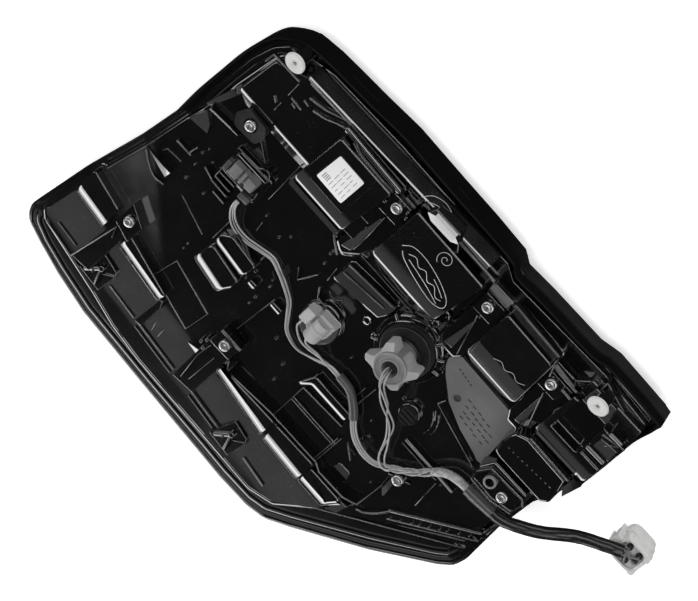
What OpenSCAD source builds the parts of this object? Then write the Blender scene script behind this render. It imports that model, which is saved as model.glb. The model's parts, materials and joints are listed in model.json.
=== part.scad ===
// Back side of a car lamp: a black moulded housing on a clear outer lens, with
// two bulb holders, an LED plug, the wiring harness and a short cable with a plug.
// The lamp lies on its lens. +X is its long side, +Z points away from the lens.

/* [Housing] */
// Wall thickness of the moulded housing
wall = 3; // [2.6:0.1:3.2]
// Height of the seam between lens and housing, on the rim side
seam_z = 28; // [27:0.5:28.5]
// Height of the same seam under the tall skirt
seam_low_z = 13; // [12:0.5:14]
// Top of the tall skirt wall
skirt_z = 42; // [40:0.5:44]
// Top of the large smooth field
field_z = 40; // [39.5:0.1:40]
// Radius of the corners of the raised boxes
box_r = 4; // [3:0.5:5]
// Top of the box that carries the label
label_box_z = 64; // [60:1:68]
// Top of the second box
second_box_z = 66; // [62:1:70]
// Top of the third box
third_box_z = 62; // [60:1:66]

/* [Lens] */
// Wall thickness of the outer lens
lens_t = 2.5; // [2:0.1:2.8]

/* [Fasteners] */
// Radius of the screw heads
head_r = 4.5; // [4:0.1:4.8]
// Radius of the screw shanks and of their pilot holes
shank_r = 1.9; // [1.6:0.1:2.2]

/* [Round pads] */
// Radius of the two white pads
pad_r = 8.7; // [8:0.1:9.2]
// Radius of the pilot hole in the pads
pad_bore_r = 1.5; // [1.2:0.1:1.8]
// Lean of the pads
pad_lean = 20; // [16:1:22]

/* [Bulb holders] */
// Radius of the large socket
large_r = 16; // [15:0.5:17]
// Radius of the small socket
small_r = 10.5; // [10:0.5:11]

/* [Cable] */
// Width of the flattened cable
cable_w = 11; // [10:0.5:12]
// Thickness of the flattened cable
cable_h = 9; // [8:0.5:9]
// Radius of each thin wire
wire_r = 0.8; // [0.6:0.1:0.9]

/* [Bracket] */
// Radius of the mounting hole in the bracket
bracket_hole_r = 3.2; // [2.8:0.1:3.6]

/* [Hidden] */
$fn = 40;

// outline of the lamp, counter-clockwise
OUT = [[-225, -122], [-220, -134], [-198, -142], [-172, -150], [-135, -158], [-60, -164], [10, -169],
    [37, -171], [69, -171], [87, -167], [107, -153], [161, -111], [204, -72], [213, -61], [215, -48],
    [211, -5], [212, 36], [218, 46], [219, 66], [223, 81], [223, 105], [222, 136], [225, 158],
    [220, 163], [170, 165], [153, 161], [102, 161], [76, 160], [66, 166], [34, 168], [-1, 169],
    [-51, 171], [-85, 169], [-112, 168], [-132, 167], [-152, 164], [-167, 154], [-175, 143],
    [-181, 121], [-184, 97], [-187, 70], [-188, 46], [-197, 0], [-212, -57], [-223, -111]];
// step inside the rim
STEP = [[-217, -120], [-212, -128], [-196, -135], [-171, -142], [-134, -150], [-60, -156], [10, -160],
    [37, -162], [66, -162], [82, -158], [100, -145], [155, -101], [196, -65], [204, -56], [206, -46],
    [204, -5], [206, 38], [211, 50], [212, 68], [216, 82], [216, 105], [215, 134], [217, 156],
    [170, 156], [153, 153], [102, 153], [76, 152], [64, 158], [34, 160], [-1, 161], [-51, 162],
    [-112, 160], [-132, 159], [-148, 156], [-160, 148], [-168, 138], [-174, 119], [-177, 97],
    [-180, 70], [-181, 46], [-190, 0], [-205, -57], [-215, -110]];
// the large field
FIELD = [[-214, -111], [-207, -118], [-175, -125], [-139, -133], [-110, -141], [-75, -146], [-32, -148],
    [7, -150], [60, -153], [82, -146], [108, -116], [198, -34], [204, -24], [203, -5], [204, 40],
    [208, 52], [208, 90], [-20, 100], [-160, 106], [-168, 96], [-174, 60], [-178, 44], [-187, 0],
    [-202, -57], [-212, -105]];
// the low front edge of the skirt side
SKIRT_SIDE = [[-260, 76], [160, 76], [176, 40], [260, 40], [260, 260], [-260, 260]];

// screw seats, pads and other places
SCREWS = [[-138, 90, 54], [-155, -48, 54], [-35, -62, 54], [-20, 134, 56], [77, 133, 56], [149, 128, 56], [132, -35, 46]];
PADS = [[-146, 153, 52], [182, 147, 60]];
LARGE = [62, 53];
SMALL = [3, 12];
VENT = [99, 14];
BRACKET = [[164, 27], [186, 26], [204, 31], [206, 44], [201, 49], [168, 48], [162, 36]];
BHOLE = [175, 39];
BSCREW = [190, 35];
PLUG = [290, 58];
SEALS = [[-4.5, -5.5], [1, -5.5], [6, 0], [-4.5, 5.5], [5.5, 5.5]];

// free cable, from the relief to the plug
CABLE = [[196, 12, 50], [201, 12.3, 50], [207, 14, 49.6], [213.2, 16.8, 48.6], [220, 20.2, 46.8], [227.2, 23.6, 44.2],
    [233.8, 27.4, 41.3], [239.8, 31.8, 38.6], [245.4, 36.6, 36.6], [251.4, 41.6, 35], [257.8, 46.2, 34], [264.4, 50.2, 33.2],
    [271, 53.8, 32.2], [277.2, 57, 30.8], [283, 59, 28.5]];
RELIEF_DIR = (CABLE[1] - CABLE[0]) / norm(CABLE[1] - CABLE[0]);
RELIEF_START = CABLE[0] - 26 * RELIEF_DIR;
// harness routes; all wires share the last stretch
COMMON = [[32, -8.5, 45], [42, -8.5, 45.5], [56, -10.5, 45.5], [68, -19.5, 45.5], [74, -26, 45.5], [80, -32.5, 45.5],
    [88, -38, 45.5], [98, -41, 45.5], [106, -40.5, 46], [112, -38, 46], [121, -31, 46]];
LED_ROUTE = concat([[-106, 37, 53], [-106, 33, 53], [-104, 26, 50.5], [-99, 18, 46.5], [-92, 13, 43.5], [-82, 12, 42.2], [-70, 15, 42.2],
    [-58, 18, 42.8], [-48, 15, 43.2], [-38, 10, 42.8], [-26, 2, 42], [-18, -8, 42.5], [-10, -17, 43], [4, -21, 43], [18, -16, 43.5]], COMMON);
SMALL_ROUTE = concat([[-10, 7.5, 66.5], [-15, 7, 66], [-19, 3, 63], [-20, -4, 58], [-17, -11, 53], [-11, -16, 49], [-2, -18, 47.4],
    [8, -17, 47.6], [20, -12.6, 47.4]], COMMON);
LARGE_ROUTE = [[62, 50, 86], [62.5, 48, 89.5], [66, 42, 90], [72, 34, 84], [79, 25, 76], [87, 14, 66],
    [95, 3, 58], [101, -8, 53], [105, -18, 50.5], [108, -26, 49.4], [112, -31.5, 48.8], [117.4, -33.8, 48.6], COMMON[10] + [0, 0, 2.6]];
SLEEVE_ROUTE = [COMMON[1], COMMON[2], COMMON[3], COMMON[4]];
TAPE_ROUTE = [[121, -31, 46], [130, -24, 46], [138, -15, 46.6], [144, -5, 47.6], [150, 3.5, 49], [157, 8, 50],
    RELIEF_START - 6 * RELIEF_DIR, RELIEF_START];

function unit(v) = v / norm(v);
function left_of(a, b) = let(e = unit(b - a)) [-e[1], e[0]];
// a polygon drawn in by d on every side
function inset(p, d) = let(n = len(p)) [for (i = [0:n - 1])
    let(a = left_of(p[(i + n - 1) % n], p[i]), b = left_of(p[i], p[(i + 1) % n])) p[i] + (a + b) * d / (1 + a * b)];
function spread(p, k) = [for (q = p) q * k];
function tan_at(p, i) = unit(p[min(i + 1, len(p) - 1)] - p[max(i - 1, 0)]);
function side_at(p, i) = let(t = tan_at(p, i)) unit(cross(t, [0.001, 0.002, 1]));
function over_at(p, i) = cross(side_at(p, i), tan_at(p, i));
function beside(p, a, b) = [for (i = [0:len(p) - 1]) p[i] + a * side_at(p, i) + b * over_at(p, i)];
function lerp_list(a, i, n) = is_num(a) ? a : a[0] + (a[1] - a[0]) * i / (n - 1);

// faces of a skin over m rings of n points
function skin(m, n) = concat([[for (k = [0:n - 1]) k]],
    [for (i = [0:m - 2]) for (k = [0:n - 1]) [i * n + k, (i + 1) * n + k, (i + 1) * n + (k + 1) % n]],
    [for (i = [0:m - 2]) for (k = [0:n - 1]) [i * n + k, (i + 1) * n + (k + 1) % n, i * n + (k + 1) % n]],
    [[for (k = [n - 1:-1:0]) (m - 1) * n + k]]);

// a tube along points, rx wide and rz high, both may be [start, end]
module tube(p, rx, rz, n = 8) {
    m = len(p);
    pts = [for (i = [0:m - 1]) for (k = [0:n - 1]) p[i]
        + lerp_list(rx, i, m) * cos((k + 0.5) * 360 / n) * side_at(p, i)
        - lerp_list(rz, i, m) * sin((k + 0.5) * 360 / n) * over_at(p, i)];
    polyhedron(points = pts, faces = skin(m, n), convexity = 6);
}

// a closed stack of like polygons, each [z, scale]
module stack(p, levels) {
    n = len(p);
    m = len(levels);
    pts = [for (l = levels) for (q = p) [q[0] * l[1], q[1] * l[1], l[0]]];
    polyhedron(points = pts, faces = skin(m, n), convexity = 6);
}

module slab(p, z0, z1) translate([0, 0, z0]) linear_extrude(z1 - z0) polygon(p);

module rbox(x0, x1, y0, y1, z0, z1, r = box_r) translate([0, 0, z0]) linear_extrude(z1 - z0) {
    translate([x0 + r, y0]) square([x1 - x0 - 2 * r, y1 - y0]);
    translate([x0, y0 + r]) square([x1 - x0, y1 - y0 - 2 * r]);
    for (x = [x0 + r, x1 - r], y = [y0 + r, y1 - r]) translate([x, y]) circle(r, $fn = 24);
}

module box(x0, x1, y0, y1, z0, z1) translate([x0, y0, z0]) cube([x1 - x0, y1 - y0, z1 - z0]);

// a straight rib from a to b
module rib(a, b, t, z0, z1) translate([a[0], a[1], z0])
    rotate([0, 0, atan2(b[1] - a[1], b[0] - a[0])]) translate([0, -t / 2, 0]) cube([norm(b - a), t, z1 - z0]);

module at_pad(p) translate([p[0], p[1], p[2]]) rotate([pad_lean, 0, 0]) children();

// everything above the seam, moved up by d
module above_seam(d) {
    box(-260, 260, -260, 260, seam_z + d, 120);
    translate([0, d, 0]) slab(SKIRT_SIDE, seam_low_z + d, 120);
}

module housing_outside() {
    // rim plate, skirt wall and stepped field
    intersection() {
        slab(OUT, 10, skirt_z);
        above_seam(1);
        union() {
            slab(OUT, seam_z + 1, seam_z + 4);
            difference() {
                slab(OUT, 10, skirt_z);
                slab(inset(OUT, wall), 5, 60);
                box(-260, 260, -260, 30, 5, 60);
            }
        }
    }
    slab(STEP, seam_z + 2, 36);
    slab(FIELD, 34, field_z);
    // plateau along the skirt
    slab([[-160, 104], [-20, 98], [-16, 104], [-24, 147], [-30, 151], [-130, 151], [-158, 138]], 34, 50);
    // raised boxes
    rbox(-91, -38, 91, 137, 38, label_box_z);
    rbox(-14, 64, 98, 153, 34, second_box_z);
    rbox(86, 139, 96, 148, 34, third_box_z);
    rbox(164, 219, 89, 156, 34, 51);
    rbox(164, 219, 89, 137, 34, 58);
    slab([[161, 54], [168, 50], [210, 50], [216, 58], [214, 76], [208, 87], [168, 88], [160, 80]], 34, 62);
    rbox(-160, -134, 140, 160, 34, 48, 6);
    // bridges with screw seats between the boxes
    slab([[-34, 84], [-16, 84], [-10, 141], [-30, 141]], 34, 54);
    slab([[72, 88], [90, 88], [88, 146], [68, 146]], 34, 54);
    slab([[142, 84], [163, 88], [166, 141], [138, 141]], 34, 54);
    for (p = SCREWS) translate([p[0], p[1], 34]) cylinder(r = 5.6, h = p[2] - 34);
    // arms that lead to the free seats
    slab([[-152, 80], [-130, 80], [-126, 98], [-150, 100]], 38, 52);
    slab([[-190, -62], [-150, -56], [-150, -38], [-166, -38]], 38, 50);
    slab([[-58, -116], [-46, -118], [-28, -60], [-42, -54]], 38, 52);
    // raised blocks and ridges on the field
    rbox(-204, -168, -71, -41, 38, 50);
    rbox(-150, -98, -82, -60, 38, 48);
    rbox(-101, -66, -27, -3, 38, 54);
    rbox(-28, 112, -102, -86, 38, 52, 6);
    rbox(28, 78, -77, -52, 38, 46);
    rbox(90, 108, 5, 23, 38, 46, 2);
    rbox(-164, -96, 100, 112, 38, 58, 5);
    slab([[88, 74], [92, 84], [144, 82], [160, 70], [163, 34], [138, 42], [106, 58]], 38, 46);
    slab([[-162, -118], [-154, -92], [-133, -97], [-138, -124]], 38, 46);
    slab([[5, -142], [11, -106], [34, -115], [30, -141]], 38, 46);
    // the tower of the bracket and the ledge of the cable
    slab([[162, 26], [186, 25], [204, 30], [206, 45], [201, 52], [166, 52], [160, 36]], 34, 60);
    slab([[166, 2], [203, 2], [204, 26], [166, 26]], 34, 44);
    // sockets
    translate([LARGE[0], LARGE[1], 34]) cylinder(r = 28.5, h = 10);
    translate([LARGE[0], LARGE[1], 34]) cylinder(r = 24.5, h = 14);
    translate([SMALL[0], SMALL[1], 34]) cylinder(r = 17.5, h = 12);
    // pedestals of the pads
    for (p = PADS) at_pad(p) translate([0, 0, -10]) cylinder(r = 9.5, h = 10);
    // ridges of the LED plug's place
    rbox(-134, -98, 41, 64, 38, 46, 2);
    rib([-136, 40], [-136, 66], 2, 38, 50);
    rib([-139, 40], [-139, 62], 1.6, 38, 48);
    // small ribs
    rib([-113, -72], [-64, -84], 1.6, 38, 43);
    rib([-108, -48], [-62, -57], 1.6, 38, 43);
    rib([-113, -72], [-108, -48], 1.6, 38, 43);
    rib([-64, -84], [-60, -57], 1.6, 38, 43);
    rib([-184, 4], [-158, 1], 2, 38, 46);
    rib([-172, 30], [-155, 29], 2, 38, 46);
    rib([-171, 71], [-140, 71], 2, 38, 46);
    rib([-98, -80], [-98, -114], 2, 38, 46);
    rib([-96, -114], [-50, -119], 2.5, 38, 46);
    rib([113, -2], [134, -2], 2, 38, 46);
    rib([152, 3], [155, -16], 2, 38, 41);
    rib([67, -2], [68, 14], 2, 38, 46);
    rib([24, -37], [72, -35], 2, 38, 42);
}

module housing_inside() {
    w = wall;
    slab(inset(STEP, w), 5, 36 - w);
    slab(inset(FIELD, w), 5, field_z - w);
    slab([[-157, 107], [-40, 101], [-20, 101], [-27, 146], [-32, 148], [-128, 148], [-155, 136]], 30, 50 - w);
    rbox(-91 + w, -38 - w, 91 + w, 137 - w, 30, label_box_z - w);
    rbox(-14 + w, 64 - w, 98 + w, 153 - w, 30, second_box_z - w);
    rbox(86 + w, 139 - w, 96 + w, 148 - w, 30, third_box_z - w);
    slab([[164, 56], [169, 53], [208, 53], [213, 59], [211, 75], [206, 84], [169, 85], [163, 79]], 30, 62 - w);
    rbox(-28 + w, 112 - w, -102 + w, -86 - w, 30, 52 - w, 3);
    rbox(-101 + w, -66 - w, -27 + w, -3 - w, 30, 54 - w, 3);
    rbox(-204 + w, -168 - w, -71 + w, -41 - w, 30, 50 - w, 3);
    slab([[163, 27], [201, 27], [203, 43], [168, 47], [163, 36]], 30, 50);
}

module housing() color([0.05, 0.05, 0.055]) difference() {
    union() {
        difference() {
            housing_outside();
            housing_inside();
        }
        // solid posts under the screws, pads and sockets
        for (p = SCREWS) translate([p[0], p[1], 34]) cylinder(r = 4.5, h = p[2] - 34.5);
        for (p = PADS) at_pad(p) translate([0, 0, -13]) cylinder(r = 6, h = 8);
        translate([BSCREW[0], BSCREW[1], 42]) cylinder(r = 5, h = 16);
    }
    for (p = SCREWS) translate([p[0], p[1], p[2] - 14]) cylinder(r = shank_r, h = 30);
    translate([BSCREW[0], BSCREW[1], 46]) cylinder(r = shank_r, h = 30);
    for (p = PADS) at_pad(p) translate([0, 0, -11]) cylinder(r = 4, h = 20);
    translate([LARGE[0], LARGE[1], 20]) cylinder(r = large_r, h = 60);
    translate([SMALL[0], SMALL[1], 20]) cylinder(r = small_r, h = 60);
    translate([VENT[0], VENT[1], 20]) cylinder(r = 4, h = 60);
    // window of the LED socket
    box(-126, -108, 46, 59, 20, 60);
    // open pocket of the fourth box
    rbox(172, 199, 104, 136, 46, 80, 2);
}

module outer_lens() color([0.85, 0.86, 0.88, 0.4]) difference() {
    stack(OUT, [[0, 0.9], [1.2, 0.93], [4, 0.962], [9, 0.985], [16, 0.996], [22, 1], [seam_z + 3, 1]]);
    stack(OUT, [[lens_t, 0.885], [lens_t + 1.2, 0.915], [6, 0.946], [11, 0.969], [17, 0.979], [23, 0.983], [seam_z + 6, 0.983]]);
    above_seam(-1);
}

module lens_seal() color([0.12, 0.12, 0.12]) difference() {
    intersection() {
        difference() {
            slab(spread(OUT, 0.997), 5, 34);
            slab(spread(OUT, 0.986), 4, 35);
        }
        above_seam(-1);
    }
    above_seam(1);
}

module bezel_plan(k) polygon(spread(OUT, k));

module inner_bezel() color([0.3, 0.3, 0.31]) difference() {
    union() {
        translate([0, 0, 16]) linear_extrude(2) bezel_plan(0.955);
        // upstand that reaches the rim plate
        difference() {
            translate([0, 0, 16]) linear_extrude(seam_z + 1 - 16) bezel_plan(0.955);
            translate([0, 0, 17]) linear_extrude(20) bezel_plan(0.945);
        }
    }
    translate([LARGE[0], LARGE[1], 5]) cylinder(r = 36, h = 20);
    translate([SMALL[0], SMALL[1], 5]) cylinder(r = 19, h = 20);
    box(-164, -66, 30, 74, 5, 20);
}

module bowl(r0, r1, z0, z1) rotate_extrude() polygon([[r1 - 2, z0], [r1 + 3, z0], [r1 + 3, z0 + 2], [r1, z0 + 2],
    [r0 + (r1 - r0) * 0.72, z0 + (z1 - z0) * 0.55], [r0 + 2, z1], [r0, z1], [r0 + (r1 - r0) * 0.72 - 2, z0 + (z1 - z0) * 0.5]]);

module main_reflector() color([0.8, 0.8, 0.82]) translate([LARGE[0], LARGE[1], 0]) bowl(large_r + 1, 36, 18, field_z - wall);
module turn_reflector() color([0.8, 0.8, 0.82]) translate([SMALL[0], SMALL[1], 0]) bowl(small_r + 1, 18, 18, field_z - wall);

module led_board() color([0.1, 0.3, 0.16]) {
    box(-168, -62, 26, 78, 18, 19.6);
    for (x = [-154:16:-74], y = [40, 52, 64]) box(x - 2, x + 2, y - 2, y + 2, 17, 18.5);
}

module led_carrier() color([0.7, 0.7, 0.72]) {
    box(-166, -64, 28, 76, 19.6, 22);
    for (y = [30, 72]) box(-164, -66, y, y + 2, 21, field_z - wall);
}

module led_socket() color([0.08, 0.08, 0.08]) difference() {
    union() {
        box(-126, -108, 46, 59, 38, 47);
        box(-132, -100, 42, 63, 46, 50);
    }
    box(-128, -104, 44.5, 60.5, 48, 60);
}

module led_plug() color([0.62, 0.62, 0.63]) {
    box(-128, -104, 44.5, 60.5, 48, 56);
    box(-126, -118, 45.5, 59.5, 55, 60);
    box(-116.5, -114, 45.5, 59.5, 55, 59);
    box(-112.5, -104, 45.5, 59.5, 55, 58);
    box(-110, -102, 37, 44.6, 50.2, 56);
}

module strands(p, offsets, n = 6) for (o = offsets) tube(beside(p, o[0], o[1]), wire_r, wire_r, n);

module led_wires() color([0.75, 0.75, 0.75]) strands(LED_ROUTE, [[-2, -0.9], [-0.2, -0.9], [-1.1, 0.7]]);
module small_holder_wires() color([0.75, 0.75, 0.75]) strands(SMALL_ROUTE, [[1.6, -0.9], [1.6, 0.9]]);
module large_holder_wires() color([0.75, 0.75, 0.75]) strands(LARGE_ROUTE, [[-1.8, 0], [0, 0], [1.8, 0]]);

// a bulb holder: flange on a seal, cap above, sleeve for the bulb below
module holder(r, flange_r, z, cap_r, top) {
    difference() {
        union() {
            translate([0, 0, z]) cylinder(r = flange_r, h = 3);
            translate([0, 0, z + 2]) cylinder(r = cap_r, h = top - z - 2);
            translate([0, 0, z - 15]) cylinder(r = r - 0.5, h = 17);
        }
        translate([0, 0, z - 16]) cylinder(r = r - 3, h = 12);
        translate([0, 0, top - 4]) cylinder(r = cap_r * 0.45, h = 6);
    }
}

module large_holder() color([0.55, 0.55, 0.56]) translate([LARGE[0], LARGE[1], 0]) {
    difference() {
        holder(large_r, 21, 50, 13.5, 84);
        translate([0, -3, 80]) cylinder(r = 5, h = 10);
    }
    for (a = [20:72:340]) rotate([0, 0, a]) translate([12.5, -3.5, 62]) cube([6.5, 7, 16]);
}

module large_gasket() color([0.06, 0.06, 0.06]) translate([LARGE[0], LARGE[1], 48]) difference() {
    cylinder(r = 22, h = 2);
    translate([0, 0, -1]) cylinder(r = large_r + 0.5, h = 4);
}

module wedge_bulb(r, l) {
    translate([0, 0, -l]) cylinder(r = r, h = l);
    translate([0, 0, -l]) sphere(r);
    translate([-r * 0.7, -2, -0.5]) cube([r * 1.4, 4, 5]);
}

module large_bulb() color([0.9, 0.9, 0.9]) translate([LARGE[0], LARGE[1], 41.5]) wedge_bulb(8, 12);
module small_bulb() color([0.9, 0.6, 0.2]) translate([SMALL[0], SMALL[1], 39.5]) wedge_bulb(5, 8);

module small_holder() color([0.75, 0.75, 0.76]) translate([SMALL[0], SMALL[1], 0]) difference() {
    union() {
        holder(small_r, 16, 48, 9.5, 73);
        translate([-13, -8, 51]) cube([8, 12, 17]);
    }
    translate([-8.5, -4.5, 64]) cylinder(r = 2.6, h = 20);
    translate([-20, -4.5, 66.5]) rotate([0, 90, 0]) cylinder(r = 2.4, h = 11);
}

module small_gasket() color([0.06, 0.06, 0.06]) translate([SMALL[0], SMALL[1], 46]) difference() {
    cylinder(r = 15, h = 2);
    translate([0, 0, -1]) cylinder(r = small_r + 0.5, h = 4);
}

module shrink_sleeve() color([0.3, 0.3, 0.3]) difference() {
    tube(SLEEVE_ROUTE, 4.5, 4.5, 12);
    tube([SLEEVE_ROUTE[0] - 2 * tan_at(SLEEVE_ROUTE, 0), SLEEVE_ROUTE[1], SLEEVE_ROUTE[2],
        SLEEVE_ROUTE[3] + 2 * tan_at(SLEEVE_ROUTE, 3)], 3.8, 3.8, 12);
}

module taped_bundle() color([0.6, 0.6, 0.6]) tube(TAPE_ROUTE, [4.2, 4.9], [4.2, 4.6], 10);

module cable_relief() color([0.25, 0.25, 0.25]) translate(RELIEF_START)
    rotate([0, 0, atan2(RELIEF_DIR[1], RELIEF_DIR[0])]) rotate([0, 90, 0]) {
    cylinder(r = 5.6, h = 6);
    translate([0, 0, 5]) cylinder(r1 = 6, r2 = 5.2, h = 21);
}

module cable() color([0.08, 0.08, 0.08]) tube(CABLE, cable_w / 2, cable_h / 2, 10);

module cable_plug() color([0.9, 0.9, 0.9]) translate([PLUG[0], PLUG[1], 0]) difference() {
    union() {
        rbox(-13, 13, -12, 12, 0, 24, 7);
        rbox(-14.5, 14.5, -13, 13, 8, 14, 8);
        box(-18, -10, -4, 4, 4, 25);
    }
    // seat of the wire seals, open mating end and the latch's slot
    rbox(-11, 11, -10, 10, 20, 30, 5);
    rbox(-11.4, 11.4, -10.4, 10.4, -5, 13, 5.5);
    box(-16.4, -13.6, -2.5, 2.5, 10, 30);
}

module plug_seals() color([0.1, 0.1, 0.1]) translate([PLUG[0], PLUG[1], 20])
    for (q = SEALS) translate([q[0], q[1], 0]) difference() {
        cylinder(r = 2.7, h = 4.5);
        translate([0, 0, 2]) cylinder(r = 1.4, h = 5);
    }

module plug_wires() color([0.35, 0.35, 0.35]) for (i = [0:4]) let(q = SEALS[i], e = CABLE[14],
    t = (CABLE[14] - CABLE[13]) / norm(CABLE[14] - CABLE[13]),
    a = e + [-3.6, -1.8, 0, 1.8, 3.6][i] * side_at(CABLE, 14) + [-1, 1.2, -1, 1.2, -1][i] * over_at(CABLE, 14),
    b = [PLUG[0] + q[0], PLUG[1] + q[1], 22])
    tube([a, a + 2.5 * t, b + [0, 0, 5], b + [0, 0, 3.4], b], 0.9, 0.9, 6);

module plug_terminals() color([0.8, 0.7, 0.4]) translate([PLUG[0], PLUG[1], 0])
    for (q = SEALS) translate([q[0] - 1, q[1] - 0.3, 5]) cube([2, 0.6, 8]);

module screw() {
    difference() {
        union() {
            cylinder(r = head_r, h = 1);
            translate([0, 0, 0.5]) cylinder(r = head_r * 0.78, h = 2.3);
        }
        translate([-2.2, -0.45, 1.6]) cube([4.4, 0.9, 3]);
        translate([-0.45, -2.2, 1.6]) cube([0.9, 4.4, 3]);
    }
    translate([0, 0, -12]) cylinder(r = shank_r, h = 12.5);
}

module housing_screws() color([0.7, 0.7, 0.7]) for (p = SCREWS) translate(p) screw();

module bracket() color([0.1, 0.1, 0.1]) difference() {
    union() {
        slab(BRACKET, 60, 62.5);
        difference() {
            slab(BRACKET, 60, 65);
            slab(inset(BRACKET, 1.6), 59, 66);
        }
        translate([BHOLE[0], BHOLE[1], 60]) cylinder(r = bracket_hole_r + 2, h = 7);
    }
    translate([BHOLE[0], BHOLE[1], 50]) cylinder(r = bracket_hole_r, h = 30);
    translate([BSCREW[0], BSCREW[1], 50]) cylinder(r = shank_r, h = 30);
}

module bracket_screw() color([0.7, 0.7, 0.7]) translate([BSCREW[0], BSCREW[1], 62.5]) screw();

module round_pad() difference() {
    union() {
        cylinder(r = pad_r, h = 2);
        translate([0, 0, -9]) cylinder(r = 4, h = 9.5);
    }
    translate([0, 0, -6]) cylinder(r = pad_bore_r, h = 20);
}

module upper_pad() color([0.92, 0.92, 0.92]) at_pad(PADS[0]) round_pad();
module lower_pad() color([0.92, 0.92, 0.92]) at_pad(PADS[1]) round_pad();

module label() color([0.95, 0.95, 0.95]) box(-78, -49, 107, 134, label_box_z, label_box_z + 0.3);

module vent_cap() color([0.1, 0.1, 0.1]) translate([VENT[0], VENT[1], 46]) difference() {
    union() {
        cylinder(r = 7, h = 5);
        translate([0, 0, -4]) cylinder(r = 4, h = 5);
    }
    for (y = [-4, 0, 4]) translate([-8, y - 0.8, 3.5]) cube([16, 1.6, 3]);
}

module clip(w, h) {
    box(-w, w, -3, 3, 0, 1);
    box(-w, -w + 1.2, -3, 3, 0, h);
    box(w - 1.2, w, -3, 3, 0, h);
}

module wire_clips() color([0.12, 0.12, 0.12]) {
    translate([-46, 14, field_z]) rotate([0, 0, 62]) clip(5, 5);
    translate([94, -40, field_z]) rotate([0, 0, 78]) clip(6.5, 8);
}

housing();
outer_lens();
lens_seal();
inner_bezel();
main_reflector();
turn_reflector();
led_board();
led_carrier();
led_socket();
led_plug();
led_wires();
large_holder();
large_gasket();
large_bulb();
small_holder();
small_gasket();
small_bulb();
small_holder_wires();
large_holder_wires();
shrink_sleeve();
taped_bundle();
cable_relief();
cable();
cable_plug();
plug_seals();
plug_wires();
plug_terminals();
housing_screws();
bracket();
bracket_screw();
upper_pad();
lower_pad();
label();
vent_cap();
wire_clips();
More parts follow.
